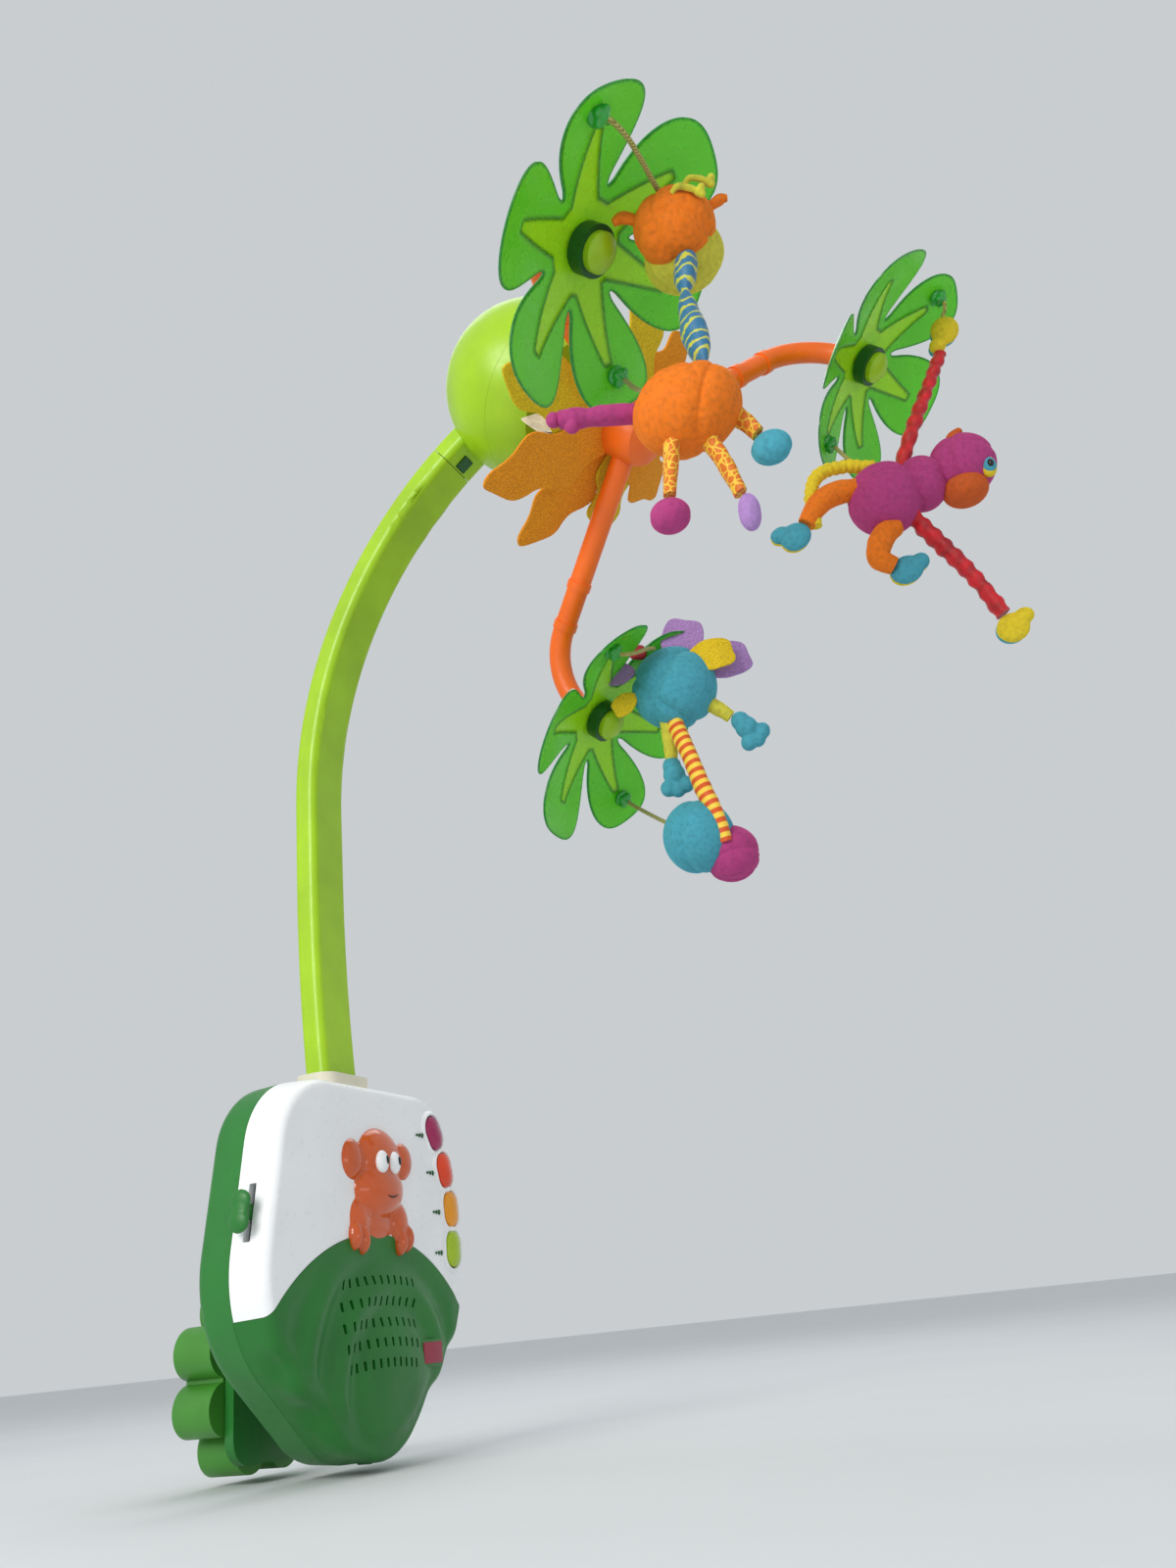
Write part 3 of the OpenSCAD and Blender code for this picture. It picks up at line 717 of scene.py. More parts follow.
def make_front_shell():
    shell = case_blank("front_shell_moulding", "white", SEAM, -35, FRONT, 4.6)
    cutters = [prism(hill_line(0.25), FRONT - 12, SEAM + 2), arm_notch()]
    for x, z, lean in BUTTONS:
        cutters.append(prism(oval_line(x, z, lean, 14.6, 19.6), FRONT - 6, FRONT + 8))
    slot_place = Matrix.Translation(mm(-81.8, SLIDER_DEPTH, BOX_UP + 30))
    slot_turn = slot_place @ Matrix.Rotation(math.radians(8), 4, "Y")
    cutters.append(brick("slot", SLOT_SIZE, "white", 0.4, slot_turn))
    seat(carve(shell, cutters), "base", "white", "front_shell")


def make_hill():
    hill = case_blank("hill_moulding", "green", SEAM, -35, FRONT, 4.6, hill_height, 46)
    carve(hill, [prism(hill_line(), FRONT - 12, SEAM + 2)], "INTERSECT")
    slots = []
    for z, half in SPEAKER_ROWS:
        for k in range(-5, 6):
            x, up = k * half / 5.5, z - 0.012 * k * k * half / 5
            slots.append(prism(oval_line(x, up, -0.6 * k, 1.7, 4.4, 12), FRONT - 12, FRONT + 6))
    join(slots)
    seat(carve(hill, slots[:1]), "base", "green", "hill_panel")


def join(pieces):
    """Puts scratch pieces into the first one."""
    work = bmesh.new()
    for piece in pieces:
        work.from_mesh(piece.data)
    work.to_mesh(pieces[0].data)
    work.free()
    for piece in pieces[1:]:
        bpy.data.objects.remove(piece)


def make_rear_shell():
    shell = case_blank("rear_shell_moulding", "rear_green", SEAM, -6, 0, 5.5)
    cutters = [arm_notch(), prism([(-35, 44), (35, 44), (35, 88), (-35, 88)], -6, 4),
               prism(oval_line(0, -38, 0, 12.1, 12.2), -12, 4)]
    for x, z in SCREW_PLACES:
        cutters.append(prism(oval_line(x, z, 0, 6.4, 6.5), -3, 4))
    seat(carve(shell, cutters), "base", "rear_green", "rear_shell")
    for name, x, z, look in (("side_tab", -62, -32, "knob"), ("bottom_tab", 20, -79.5, "rear_green")):
        tab = brick(name, (9, 9, 4), look, 1.2, Matrix.Translation(mm(x, -18.5, BOX_UP + z))
                    @ Matrix.Rotation(math.radians(-40 if x < 0 else -8), 4, "Y"))
        seat(tab, "base", look)


def oval_rings(x, z, lean, profile):
    """Rings for an oval form: profile gives (growth, depth) pairs."""
    rings = []
    for grow, y in profile:
        line = oval_line(x, z, lean, BUTTON_WIDTH + 2 * grow, BUTTON_HEIGHT + 2 * grow)
        rings.append([mm(u, y, v) for u, v in line])
    return rings


def make_buttons():
    for i, (x, z, lean) in enumerate(BUTTONS):
        look = BUTTON_LOOKS[i]
        profile = [(-5, FRONT + 4), (-0.4, FRONT + 4), (0, FRONT + 3), (0, FRONT - 1.2)]
        profile += [(-0.9 + 0.9 * math.cos(a), FRONT - 1.2 - 1.0 * math.sin(a)) for a in (0.5, 1.0, 1.57)]
        profile += [(-0.9 - 5.3 * t, FRONT - 2.2 - 1.5 * math.sin(math.pi / 2 * t))
                    for t in (0.2, 0.4, 0.6, 0.8, 1)]
        cap = outward(mesh_piece(f"button_{i + 1}_cap", *loft(oval_rings(x, z, lean, profile)), look))
        seat(cap, f"button_{i + 1}", look, f"button_{i + 1}")
        rim = [(0.75, FRONT + 1), (0.75, FRONT - 0.8)]
        rim += [(1.75 - math.cos(a), FRONT - 0.8 - 1.1 * math.sin(a)) for a in (0.6, 1.2, 1.57, 2.1, 2.7)]
        rim += [(3.4, FRONT - 0.2), (4.0, FRONT + 1)]
        points, faces = loft(oval_rings(x, z, lean, rim + [rim[0]]))
        ring = outward(mesh_piece(f"button_{i + 1}_rim", points, open_ends(faces), "white"))
        seat(ring, "base", "white")
        mark_x = x - 15 - 1.5 * math.cos(math.radians(lean))
        for k in range(3):
            lump(f"button_{i + 1}_mark_{k + 1}", "base",
                 [((mark_x + 2.6 * k, FRONT - 0.9, BOX_UP + z - 2), (0.8, 0.5, 0.8 + 0.35 * k))],
                 "dark_green", 0.25, 2)


def open_ends(faces):
    """The same faces without the fans over the ends."""
    return [f for f in faces if len(f) == 4]


RELIEF_SCALE = 1.16


def relief_place(x, y, z):
    """The relief is laid out about a point over the hill's top, then enlarged."""
    return (2 + (x - 5) * RELIEF_SCALE, y, 58 + (z - 56) * RELIEF_SCALE)


def make_relief():
    """A friendly animal of no particular kind, peeping over the hill."""
    y = FRONT
    parts = [((6, y + 1, 86), (16.5, 7.5, 14.5)), ((5, y + 0.5, 74), (17.5, 8.5, 12)),
             ((-13, y + 1, 86), (8, 4.6, 9)), ((25, y + 1, 87), (7.5, 4.6, 8.5)),
             ((-9, y + 2, 62), (8, 5.5, 10)), ((20, y + 2, 61), (8, 5.5, 10)),
             ((4, y + 2, 60), (15, 4, 9)),
             ((-14, y - 0.6, 55), (3.2, 4.6, 6)), ((-8.5, y - 0.8, 53.5), (3.2, 4.6, 6)),
             ((19.5, y - 0.8, 53), (3.2, 4.6, 6)), ((25, y - 0.6, 54.5), (3.2, 4.6, 6))]
    parts = [(relief_place(*centre), tuple(r * RELIEF_SCALE for r in radii)) for centre, radii in parts]
    figure = blobs("relief_animal", parts, "relief", 0.7, 5)
    work = bmesh.new()
    work.from_mesh(figure.data)
    cut = bmesh.ops.bisect_plane(work, geom=work.verts[:] + work.edges[:] + work.faces[:],
                                 plane_co=mm(0, y + 1.6, 0), plane_no=(0, 1, 0), clear_outer=True)
    bmesh.ops.edgeloop_fill(work, edges=[e for e in cut["geom_cut"] if isinstance(e, bmesh.types.BMEdge)])
    work.to_mesh(figure.data)
    work.free()
    figure.data.shade_smooth()
    seat(figure, "base", "relief", "relief_figure")
    for k, x in enumerate((1.2, 10.4)):
        lump(f"relief_eye_{k + 1}", "base", [(relief_place(x, y - 7.0, 85), (4.6, 2.8, 5.6))],
             "white", 0.35, 2, *(["relief_eyes"] if k == 0 else []))
        lump(f"relief_pupil_{k + 1}", "base", [(relief_place(x + 1.2, y - 9.1, 85.6), (1.9, 1.0, 2.4))],
             "black", 0.25, 2)
    smile = [mm(*relief_place(6 + 7 * math.sin(a), y - 8.9 + 1.6 * math.sin(a) ** 2, 76 - 5.5 * math.cos(a)))
             for a in [math.radians(v) for v in range(-75, 76, 10)]]
    seat(curve_piece("relief_smile", smile, 0.45 * MM, "line"), "base", "line")


def make_small_parts():
    base = Matrix.Translation(mm(43, FRONT + 0.6, BOX_UP - 36))
    seat(brick("badge_block", (20, 7, 13), "green", 1.2, base), "base", "green")
    seat(brick("badge_plate", (17, 1.2, 10), "badge", 0.5, base @ Matrix.Translation(mm(0, -3.6, 0))),
         "base", "badge")
    knob = [((-87.2, SLIDER_DEPTH, 63.5), (2.2, 5.6, 5)), ((-86.0, SLIDER_DEPTH, 72.5), (2.2, 5.6, 5)),
            ((-86.4, SLIDER_DEPTH, 68), (2, 4.6, 7)), ((-79, SLIDER_DEPTH, 68), (7, 1.4, 3.6))]
    lump("slider_knob", "volume_slider", knob, "rear_green", 0.6, 5, "volume_slider")
    for k, z in enumerate((61, 70, 79)):
        size = 1.3 + 0.5 * k
        lump(f"slider_mark_{k + 1}", "base", [((-77.6 + 1.3 * k, -34.2, z), (0.9, size, size * 0.8))],
             "dark_green", 0.3, 2)


make_front_shell()
make_hill()
make_rear_shell()
make_buttons()
make_relief()
make_small_parts()


# ---- CAD parts that stay ----

CAD_LOOKS = {
    "arm_front_shell": "lime", "arm_rear_shell": "lime", "arm_plug": "dark_green", "arm_collar": "ivory",
    "dome_rear_shell": "lime", "dome_front_cover": "lime", "lock_tab": "dark_green", "motor": "steel",
    "motor_pinion": "gear", "drive_gear": "gear", "rotor_hub": "lime", "battery_door": "rear_green",
    "battery_cells": "battery", "speaker": "speaker", "circuit_board": "board", "case_screws": "steel",
    "clamp_stud": "white", "clamp_plate": "rear_green", "clamp_knob": "knob",
}
for arm in (1, 2, 3):
    CAD_LOOKS[f"spider_arm_{arm}"] = "tube"
    CAD_LOOKS[f"leaf_post_{arm}"] = "dark_green"
    CAD_LOOKS[f"leaf_cap_{arm}"] = "lime"
EDGE_ROUNDING = {"clamp_knob": 1.8, "clamp_plate": 1.2, "arm_collar": 1.5, "rotor_hub": 1.2, "lock_tab": 0.3}

for node, look in CAD_LOOKS.items():
    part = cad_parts[node]
    part.data.materials.clear()
    part.data.materials.append(LOOKS[look])
    part.data.shade_smooth()
    part.data.set_sharp_from_angle(angle=math.radians(32))
    rounding = part.modifiers.new("edges", "BEVEL")
    rounding.width = EDGE_ROUNDING.get(node, 0.35) * MM
    rounding.segments = 3
    rounding.angle_limit = math.radians(40)
    rounding.harden_normals = True


# ---- rotor frame ----

ON_DOME = Matrix.Translation(mm(0, -171.5, 517.1)) @ Matrix.Rotation(math.radians(134), 4, "X")
PHASE, LEAF_CIRCLE = -65.4, 155
LEAF_TURNS = {3: 147.5, 2: 84.3, 1: 149.0}       # direction of each leaf's first boss
LEAF_ARMS = {3: 0, 2: 1, 1: 2}
LEAF_Z, LEAF_T, DISH = 121, 2.5, 123
LOBES = [-5, 58, 122, 178, 232, 290]
LOBE_LENGTHS = [69, 70, 71, 70, 67, 69]
BOSS_REACH = 57


def turned(angle):
    return Matrix.Rotation(math.radians(angle), 4, "Z")


def leaf_place(number):
    around = PHASE + 120 * LEAF_ARMS[number]
    return (ON_DOME @ turned(around) @ Matrix.Translation(mm(LEAF_CIRCLE, 0, 0))
            @ turned(LEAF_TURNS[number] - around))


def lobe_reach(angle):
    """Distance from a leaf's centre to its rim: six paddles with narrow round-bottomed slits."""
    angle = (angle - LOBES[0]) % 360 + LOBES[0]
    axes = LOBES + [LOBES[0] + 360]
    k = max(i for i, a in enumerate(axes[:-1]) if angle >= a)
    slit = (axes[k] + axes[k + 1]) / 2 + (1.5 if k % 2 else -1.5)
    half_slit = 3.0
    near = k if angle < slit else (k + 1) % 6
    axis = axes[k] if angle < slit else axes[k + 1]
    wide = abs(slit - axis) - half_slit
    off = min(1.0, abs(angle - axis) / wide)
    bottom, rise = 27, 3.5
    if abs(angle - slit) <= half_slit:
        return bottom + rise * ((angle - slit) / half_slit) ** 2
    shape = (1 - off ** 3.6) ** (1 / 2.1)
    return bottom + rise + (LOBE_LENGTHS[near] - bottom - rise) * shape


def polar_line(reach, count):
    return [Vector((math.cos(a), math.sin(a))) * reach(math.degrees(a)) for a in full_turn(count)]


def even_line(line, step):
    """The same closed line with points a step apart."""
    result, spare = [], 0.0
    for a, b in zip(line, line[1:] + line[:1]):
        length = (b - a).length
        at = spare
        while at < length:
            result.append(a.lerp(b, at / length))
            at += step
        spare = at - length
    return result


def fill_outline(line, step):
    """Flat triangles inside a closed line of 2-D points, on a regular grid."""
    xs, ys = [p.x for p in line], [p.y for p in line]
    count = len(line)
    inner = []
    rows = int((max(ys) - min(ys)) / (step * 0.87)) + 1
    for row in range(rows):
        y = min(ys) + row * step * 0.87
        crossings = []
        for a, b in zip(line, line[1:] + line[:1]):
            if (a.y > y) != (b.y > y):
                crossings.append(a.x + (y - a.y) / (b.y - a.y) * (b.x - a.x))
        crossings.sort()
        for low, high in zip(crossings[::2], crossings[1::2]):
            x = math.ceil((low + step * 0.5) / step) * step + (step / 2 if row % 2 else 0)
            while x < high - step * 0.5:
                inner.append(Vector((x, y)))
                x += step
    edges = [(k, (k + 1) % count) for k in range(count)]
    points, _, faces, *_ = delaunay_2d_cdt(line + inner, edges, [list(range(count))], 1, 1e-5)
    return points, faces


def distances(points, line):
    """Distance from each 2-D point to a closed line."""
    close = even_line(line, 0.25)
    tree = KDTree(len(close))
    for k, p in enumerate(close):
        tree.insert((p.x, p.y, 0), k)
    tree.balance()
    return [tree.find((p.x, p.y, 0))[2] for p in points]


def star_reach(angle):
    """Distance from a leaf's centre to the rim of its raised star, whose points follow the lobes."""
    reaches = []
    for axis, length in zip(LOBES, LOBE_LENGTHS):
        off = abs((angle - axis + 180) % 360 - 180)
        if off < 80:
            tip = 0.74 * length
            taper = 6.0 / (tip - 20)
            reach = (8.2 + 20 * taper) / (math.sin(math.radians(off)) + taper)
            reaches.append(min(reach, tip - 0.02 * off * off))
    return max(20.5, *reaches)


def make_leaf_shape():
    """Points, faces and tints of one leaf in its own frame, in millimetres."""
    rim = even_line(polar_line(lobe_reach, 1440), 1.1)
    star = polar_line(star_reach, 1440)
    flat, faces = fill_outline(rim, 1.05)
    count = len(flat)
    top, bottom, tints = [], [], []
    for p, to_star, to_rim in zip(flat, distances(flat, star), distances(flat, rim)):
        inside = p.length < star_reach(math.degrees(math.atan2(p.y, p.x)))
        ridge = math.exp(-(to_star / 0.75) ** 2)
        edge = max(0.0, 1 - to_rim / 1.3)
        base = LEAF_Z + DISH - math.sqrt(DISH ** 2 - min(p.length, 80) ** 2)
        top.append((p.x, p.y, base + LEAF_T - 0.9 + 0.9 * ridge - 0.5 * edge ** 2))
        bottom.append((p.x, p.y, base + 0.3 * edge ** 2))
        # The first tint marks the inside of the star, where painted light shining through the leaf is coloured
        # in.
        tints.append((1.0 if inside else 0.0, ridge, smooth_step(1.5 - to_rim / 1.0)))
    faces = [tuple(f) for f in faces]
    whole = list(faces) + [tuple(count + k for k in f[::-1]) for f in faces]
    uses = {pair: True for f in faces for pair in zip(f, f[1:] + f[:1])}
    for a, b in uses:
        if (b, a) not in uses:
            whole.append((b, a, count + a, count + b))
    return top + bottom, whole, tints + tints


def make_leaves():
    shape, faces, tints = make_leaf_shape()
    for number in (1, 2, 3):
        place = leaf_place(number)
        points = [place @ mm(*p) for p in shape]
        piece = outward(mesh_piece(f"leaf_{number}_blade", points, faces, "leaf"))
        # The star tint carries painted light shining through the leaf; line and rim are the leaf's own colours.
        for k, name in enumerate(("star", "line", "rim")):
            tint(piece, name, [t[k] for t in tints])
        seat(piece, f"leaf_{number}", "leaf", f"leaf_{number}")
        height = LEAF_Z + DISH - math.sqrt(DISH ** 2 - BOSS_REACH ** 2)
        for k, side in enumerate((1, -1)):
            lumps = [((side * BOSS_REACH, 0, height + 2.2), (5.2, 5.2, 2.4)),
                     ((side * BOSS_REACH, 0, height + 5), 3.6)]
            for n in range(4):
                lean = math.radians(45 + 90 * n)
                knob = (side * BOSS_REACH + 3 * math.cos(lean), 3 * math.sin(lean), height + 5.6)
                lumps.append((knob, 2.1))
            boss = blobs(f"leaf_{number}_boss_{k + 1}", lumps, "boss", 0.5, 3)
            boss.data.transform(place)
            seat(boss, f"leaf_{number}", "boss")


make_leaves()


# ---- felt ----

def felt_piece(name, outline, surface, look, back=None, thick=1.6, step=2.5):
    """A felt shape: a flat outline in millimetres, bent by surface(x, y), with thickness and soft rims."""
    line = even_line([Vector(p) for p in outline], step * 0.8)
    flat, faces = fill_outline(line, step)
    piece = mesh_piece(name, [surface(p.x, p.y) for p in flat], [tuple(f) for f in faces], look)
    piece.data.shade_smooth()
    body = piece.modifiers.new("felt", "SOLIDIFY")
    body.thickness = thick * MM
    body.offset = 0
    if back:
        piece.data.materials.append(LOOKS[back])
        body.material_offset = 1
    rims = piece.modifiers.new("rims", "SUBSURF")
    rims.levels = rims.render_levels = 1
    area = abs(sum(a.x * b.y - b.x * a.y for a, b in zip(line, line[1:] + line[:1]))) / 2 * MM * MM
    xs, ys = [p.x for p in line], [p.y for p in line]
    size = ((max(xs) - min(xs)) * MM, (max(ys) - min(ys)) * MM)
    return piece, size, area


def petal_line(length, width, waves, count=60):
    """A long leaf with rounded lobes down both sides, from its root at the origin along +x."""
    line = []
    for side in (1, -1):
        steps = range(count + 1) if side > 0 else range(count, -1, -1)
        for k in steps:
            t = k / count
            belly = 0.30 + 0.70 * math.sin(math.pi * min(1, t * 0.86 + 0.1))
            half = width / 2 * belly * (1 - t ** 9) ** 0.5
            lobe = 1 + 0.2 * math.cos(2 * math.pi * (waves * t + (0.15 if side > 0 else 0.55)))
            line.append((length * t, side * half * lobe))
    return line


PETALS = [  # direction in the rotor's frame, length, width, droop, yellow side out
    (-22, 74, 34, 14, False), (22, 60, 30, 8, True), (62, 66, 34, 12, False), (100, 70, 30, 16, True),
    (140, 64, 36, 10, False), (182, 70, 32, 14, True), (222, 66, 36, 10, False), (262, 78, 34, 14, True),
    (300, 84, 36, 10, False)]


def make_foliage():
    for k, (direction, length, width, droop, swap) in enumerate(PETALS):
        layer = 66 + 1.9 * (k % 3)
        place = ON_DOME @ turned(PHASE + direction)

        def surface(x, y, place=place, layer=layer, droop=droop, length=length, k=k):
            t = x / length
            fold = 0.16 * abs(y) * t + 1.6 * noise.noise(Vector((x / 17, y / 13, 3.7 * k)))
            return place @ mm(12 + x, y, layer - droop * t * t - fold * t)

        looks = ("yellow_felt", "orange_felt") if swap else ("orange_felt", "yellow_felt")
        outline = petal_line(length, width, 2.3)
        petal, size, area = felt_piece(f"petal_{k + 1}", outline, surface, *looks, step=1.8)
        seat(petal, "rotor", "orange_felt", *(["foliage"] if k == 0 else []))


def make_tag():
    place = ON_DOME @ turned(PHASE - 68)
    for k, sway in enumerate((0, 5)):
        def surface(x, y, sway=sway):
            t = y / 34
            return place @ mm(24 + x + sway * t, -6 + 5 * math.sin(2.2 * t + 0.8 * k), 66 - y + 4 * t * t)
        outline = [(0, 0), (18, 0), (18, 33), (17, 34), (1, 34), (0, 33)]
        tag, size, area = felt_piece(f"care_tag_{k + 1}", outline, surface, "tag", thick=0.4)
        seat(tag, "rotor", "tag", *(["care_tag"] if k == 0 else []))


def make_hub_cover():
    """An orange cover over the hub's disc, where the three tubes meet."""
    profile = [(12, 65.4), (15.6, 65.4), (16.6, 66.4), (16.8, 80), (16.6, 87),
               (15.4, 90), (12, 91.6), (7, 92.6), (2, 93)]
    rings = [[ON_DOME @ mm(r * math.cos(a), r * math.sin(a), z) for a in full_turn(72)] for r, z in profile]
    seat(outward(mesh_piece("hub_cover", *loft(rings), "tube")), "rotor", "tube")


make_hub_cover()
make_foliage()
make_tag()


# ---- plush toys ----

def seam_distance(out, planes):
    """Millimetres from the nearest seam, for an offset from the middle."""
    return min(abs(out.dot(Vector(n).normalized()) / MM - offset) for n, offset in planes)


def seam_pull(piece, centre, planes, depth, width):
    """Draws the skin in along sewn seams: each plane is (normal, offset in millimetres)."""
    middle = mm(*centre)
    for vertex in piece.data.vertices:
        out = vertex.co - middle
        pull = depth * math.exp(-(seam_distance(out, planes) / width) ** 2)
        pucker = 0.35 * pull * noise.noise(out * 420)
        vertex.co -= out.normalized() * (pull + pucker) * MM


def plump(piece, centre, planes, cap=1.6):
    """Cloth simulation of a stuffed skin, ten times life size, held along its seams."""
    middle, scale = mm(*centre), 10
    rest = [v.co.copy() for v in piece.data.vertices]
    mesh = piece.data.copy()
    for vertex, place in zip(mesh.vertices, rest):
        vertex.co = (place - middle) * scale * 0.97
    work = put("stuffing", mesh)
    held = work.vertex_groups.new(name="held")
    for vertex, place in zip(mesh.vertices, rest):
        if seam_distance(place - middle, planes) < 1.0:
            held.add([vertex.index], 1.0, "REPLACE")
    cloth = work.modifiers.new("cloth", "CLOTH")
    cloth.settings.use_pressure = True
    cloth.settings.uniform_pressure_force = 4
    cloth.settings.effector_weights.gravity = 0
    cloth.settings.vertex_group_mass = "held"
    cloth.settings.shrink_min = -0.06
    cloth.settings.bending_stiffness = 0.4
    cloth.settings.quality = 4
    cloth.collision_settings.use_collision = False
    for step in range(1, 21):
        scene.frame_set(step)
    graph = bpy.context.evaluated_depsgraph_get()
    puffed = work.evaluated_get(graph).to_mesh()
    for vertex, place, puff in zip(piece.data.vertices, rest, puffed.vertices):
        move = middle + puff.co / scale - place
        if move.length > cap * MM:
            move *= cap * MM / move.length
        vertex.co = place + move
    bpy.data.objects.remove(work)
    scene.frame_set(1)


def stuffed(name, body, parts, look, seams, centre=None, replaced=(), voxel=1.1, cloth=True):
    """A fleece form: melted lumps, plumped by simulation between its seams."""
    piece = blobs(name, parts, look, voxel, 6)
    centre = centre or parts[0][0]
    if cloth:
        plump(piece, centre, seams)
    seam_pull(piece, centre, seams, 0.6, 0.7)
    finer = piece.modifiers.new("finer", "SUBSURF")
    finer.levels = finer.render_levels = 1
    apply_modifiers(piece)
    piece.data.shade_smooth()
    seat(piece, body, look, *replaced)
    return piece


def limb(name, body, points, radii, look, flat=1.0, ripple=0.0, turns=0, twist=0.0,
         replaced=(), steps=8):
    """A sewn tube through points in millimetres, with radii at those points and gathers along it."""
    line = smooth_route([mm(*p) for p in points], steps)
    last = len(line) - 1
    sizes = []
    for k in range(last + 1):
        at = k / last * (len(radii) - 1)
        low = min(int(at), len(radii) - 2)
        size = radii[low] + (radii[low + 1] - radii[low]) * (at - low)
        size *= 1 + ripple * math.sin(2 * math.pi * turns * k / last)
        size += 0.25 * noise.noise(line[k] * 200)
        sizes.append(size)
    piece = tube(name, line, sizes, look, flat=flat, twist=twist)
    for vertex in piece.data.vertices:
        vertex.co += vertex.normal * 0.35 * MM * noise.noise(vertex.co * 240)
    seat(piece, body, look, *replaced)
    return piece


TOWARD = Vector((-0.92, -0.36, -0.1))      # the side of the toys that faces out


def make_giraffe():
    body = "giraffe"
    stuffed("giraffe_head_ball", body, [((-151, -311, 434), (17, 17.5, 16.5))], "orange_fleece",
            [((0.3, 1, 0.1), 0), ((0.2, -0.1, 1), -7)], replaced=["giraffe_head"])
    stuffed("giraffe_muzzle", body, [((-139, -310, 429), (15.5, 17.5, 15.5))], "lime_fleece",
            [((0.8, 0.4, 0.4), 0)])
    limb("giraffe_ear_left", body, [(-156, -300, 438), (-159, -292, 443), (-160, -287, 442)],
         [3.6, 4.6, 3.0], "orange_fleece", flat=0.6)
    limb("giraffe_ear_right", body, [(-147, -324, 441), (-144, -331, 446), (-143, -334, 446)],
         [3.2, 4.2, 2.4], "orange_fleece", flat=0.6)
    horns = [((-167, -316.5, 436), (-163, -327, 435)), ((-163.5, -321.5, 441), (-160, -331, 441))]
    for k, (root, tip) in enumerate(horns):
        a, b = Vector(root), Vector(tip)
        points = [a, a.lerp(b, 0.3) + Vector((-2.2, 0, 1.4)), a.lerp(b, 0.7) + Vector((-1.5, 0, 1)), b]
        limb(f"giraffe_horn_{k + 1}", body, points, [1.3, 1.4, 1.3, 1.3], "horn_yarn", ripple=0.12, turns=12)
        knot = [(b, 2.1), (b + Vector((-0.8, -1.6, 0.9)), 1.7), (b + Vector((0.6, -1, -1.2)), 1.7)]
        lump(f"giraffe_horn_knot_{k + 1}", body, knot, "horn_yarn", 0.5, 2)
    limb("giraffe_neck_tube", body,
         [(-149, -313, 416), (-151, -312, 404), (-152, -311, 394), (-152.5, -312, 380), (-154, -314, 366),
          (-157, -316, 352)],
         [6.4, 6.6, 2.2, 5.4, 7.2, 6.0, 0.8], "zebra", flat=0.7, twist=60, replaced=["giraffe_neck"])
    stuffed("giraffe_body_skin", body,
            [((-153, -304, 339), (18.5, 21.5, 18.5)), ((-153, -311, 340), (16.5, 16, 16.5))],
            "orange_fleece", [((-0.25, 0.9, 0.35), -9), ((0.2, 0.25, 1), 9)], replaced=["giraffe_body"])
    limb("giraffe_tail", body, [(-157, -288, 342), (-164, -276, 341.5), (-169, -266, 341), (-173, -257, 341)],
         [4.6, 4.2, 4.4, 3.8, 4.6, 3.4], "magenta_fleece", replaced=["giraffe_limbs"])
    lump("giraffe_tail_knot", body,
         [((-171, -262, 338.5), (3.4, 3.6, 4.4)), ((-173, -255, 342), (3.2, 3.2, 3.4))],
         "magenta_fleece", 0.7, 3)
    legs = [([(-157, -298, 325), (-158, -296, 312), (-158, -294, 299)], "magenta_fleece",
             (-158, -293, 290), (7.5, 8.2, 7)),
            ([(-151, -310, 326), (-149, -315, 312), (-147, -319, 297)], "lilac_fleece",
             (-146, -321, 288), (5.0, 4.6, 8.4)),
            ([(-148, -318, 338), (-145, -325, 330), (-144, -329, 323)], "teal_fleece",
             (-142, -333, 316), (6, 8.4, 7.4))]
    for k, (points, look, foot, radii) in enumerate(legs):
        limb(f"giraffe_leg_{k + 1}", body, points, [4.6, 4.0, 3.4], "giraffe_print", flat=0.7)
        stuffed(f"giraffe_foot_{k + 1}", body, [(foot, radii)], look, [((0.9, 0.3, 0), 0)],
                voxel=0.8, cloth=False)


def mitten(name, body, palm, thumb, look, back_look):
    """A flat mitten in two colours, sewn round its rim."""
    stuffed(name, body, [palm, thumb], look, [(TOWARD, -2.6)], voxel=0.7, cloth=False)
    shifted = [(Vector(c) - TOWARD * 3.2, [r * 0.94 for r in radii]) for c, radii in (palm, thumb)]
    stuffed(name + "_back", body, shifted, back_look, [(TOWARD, 3.0)], centre=palm[0], voxel=0.7, cloth=False)


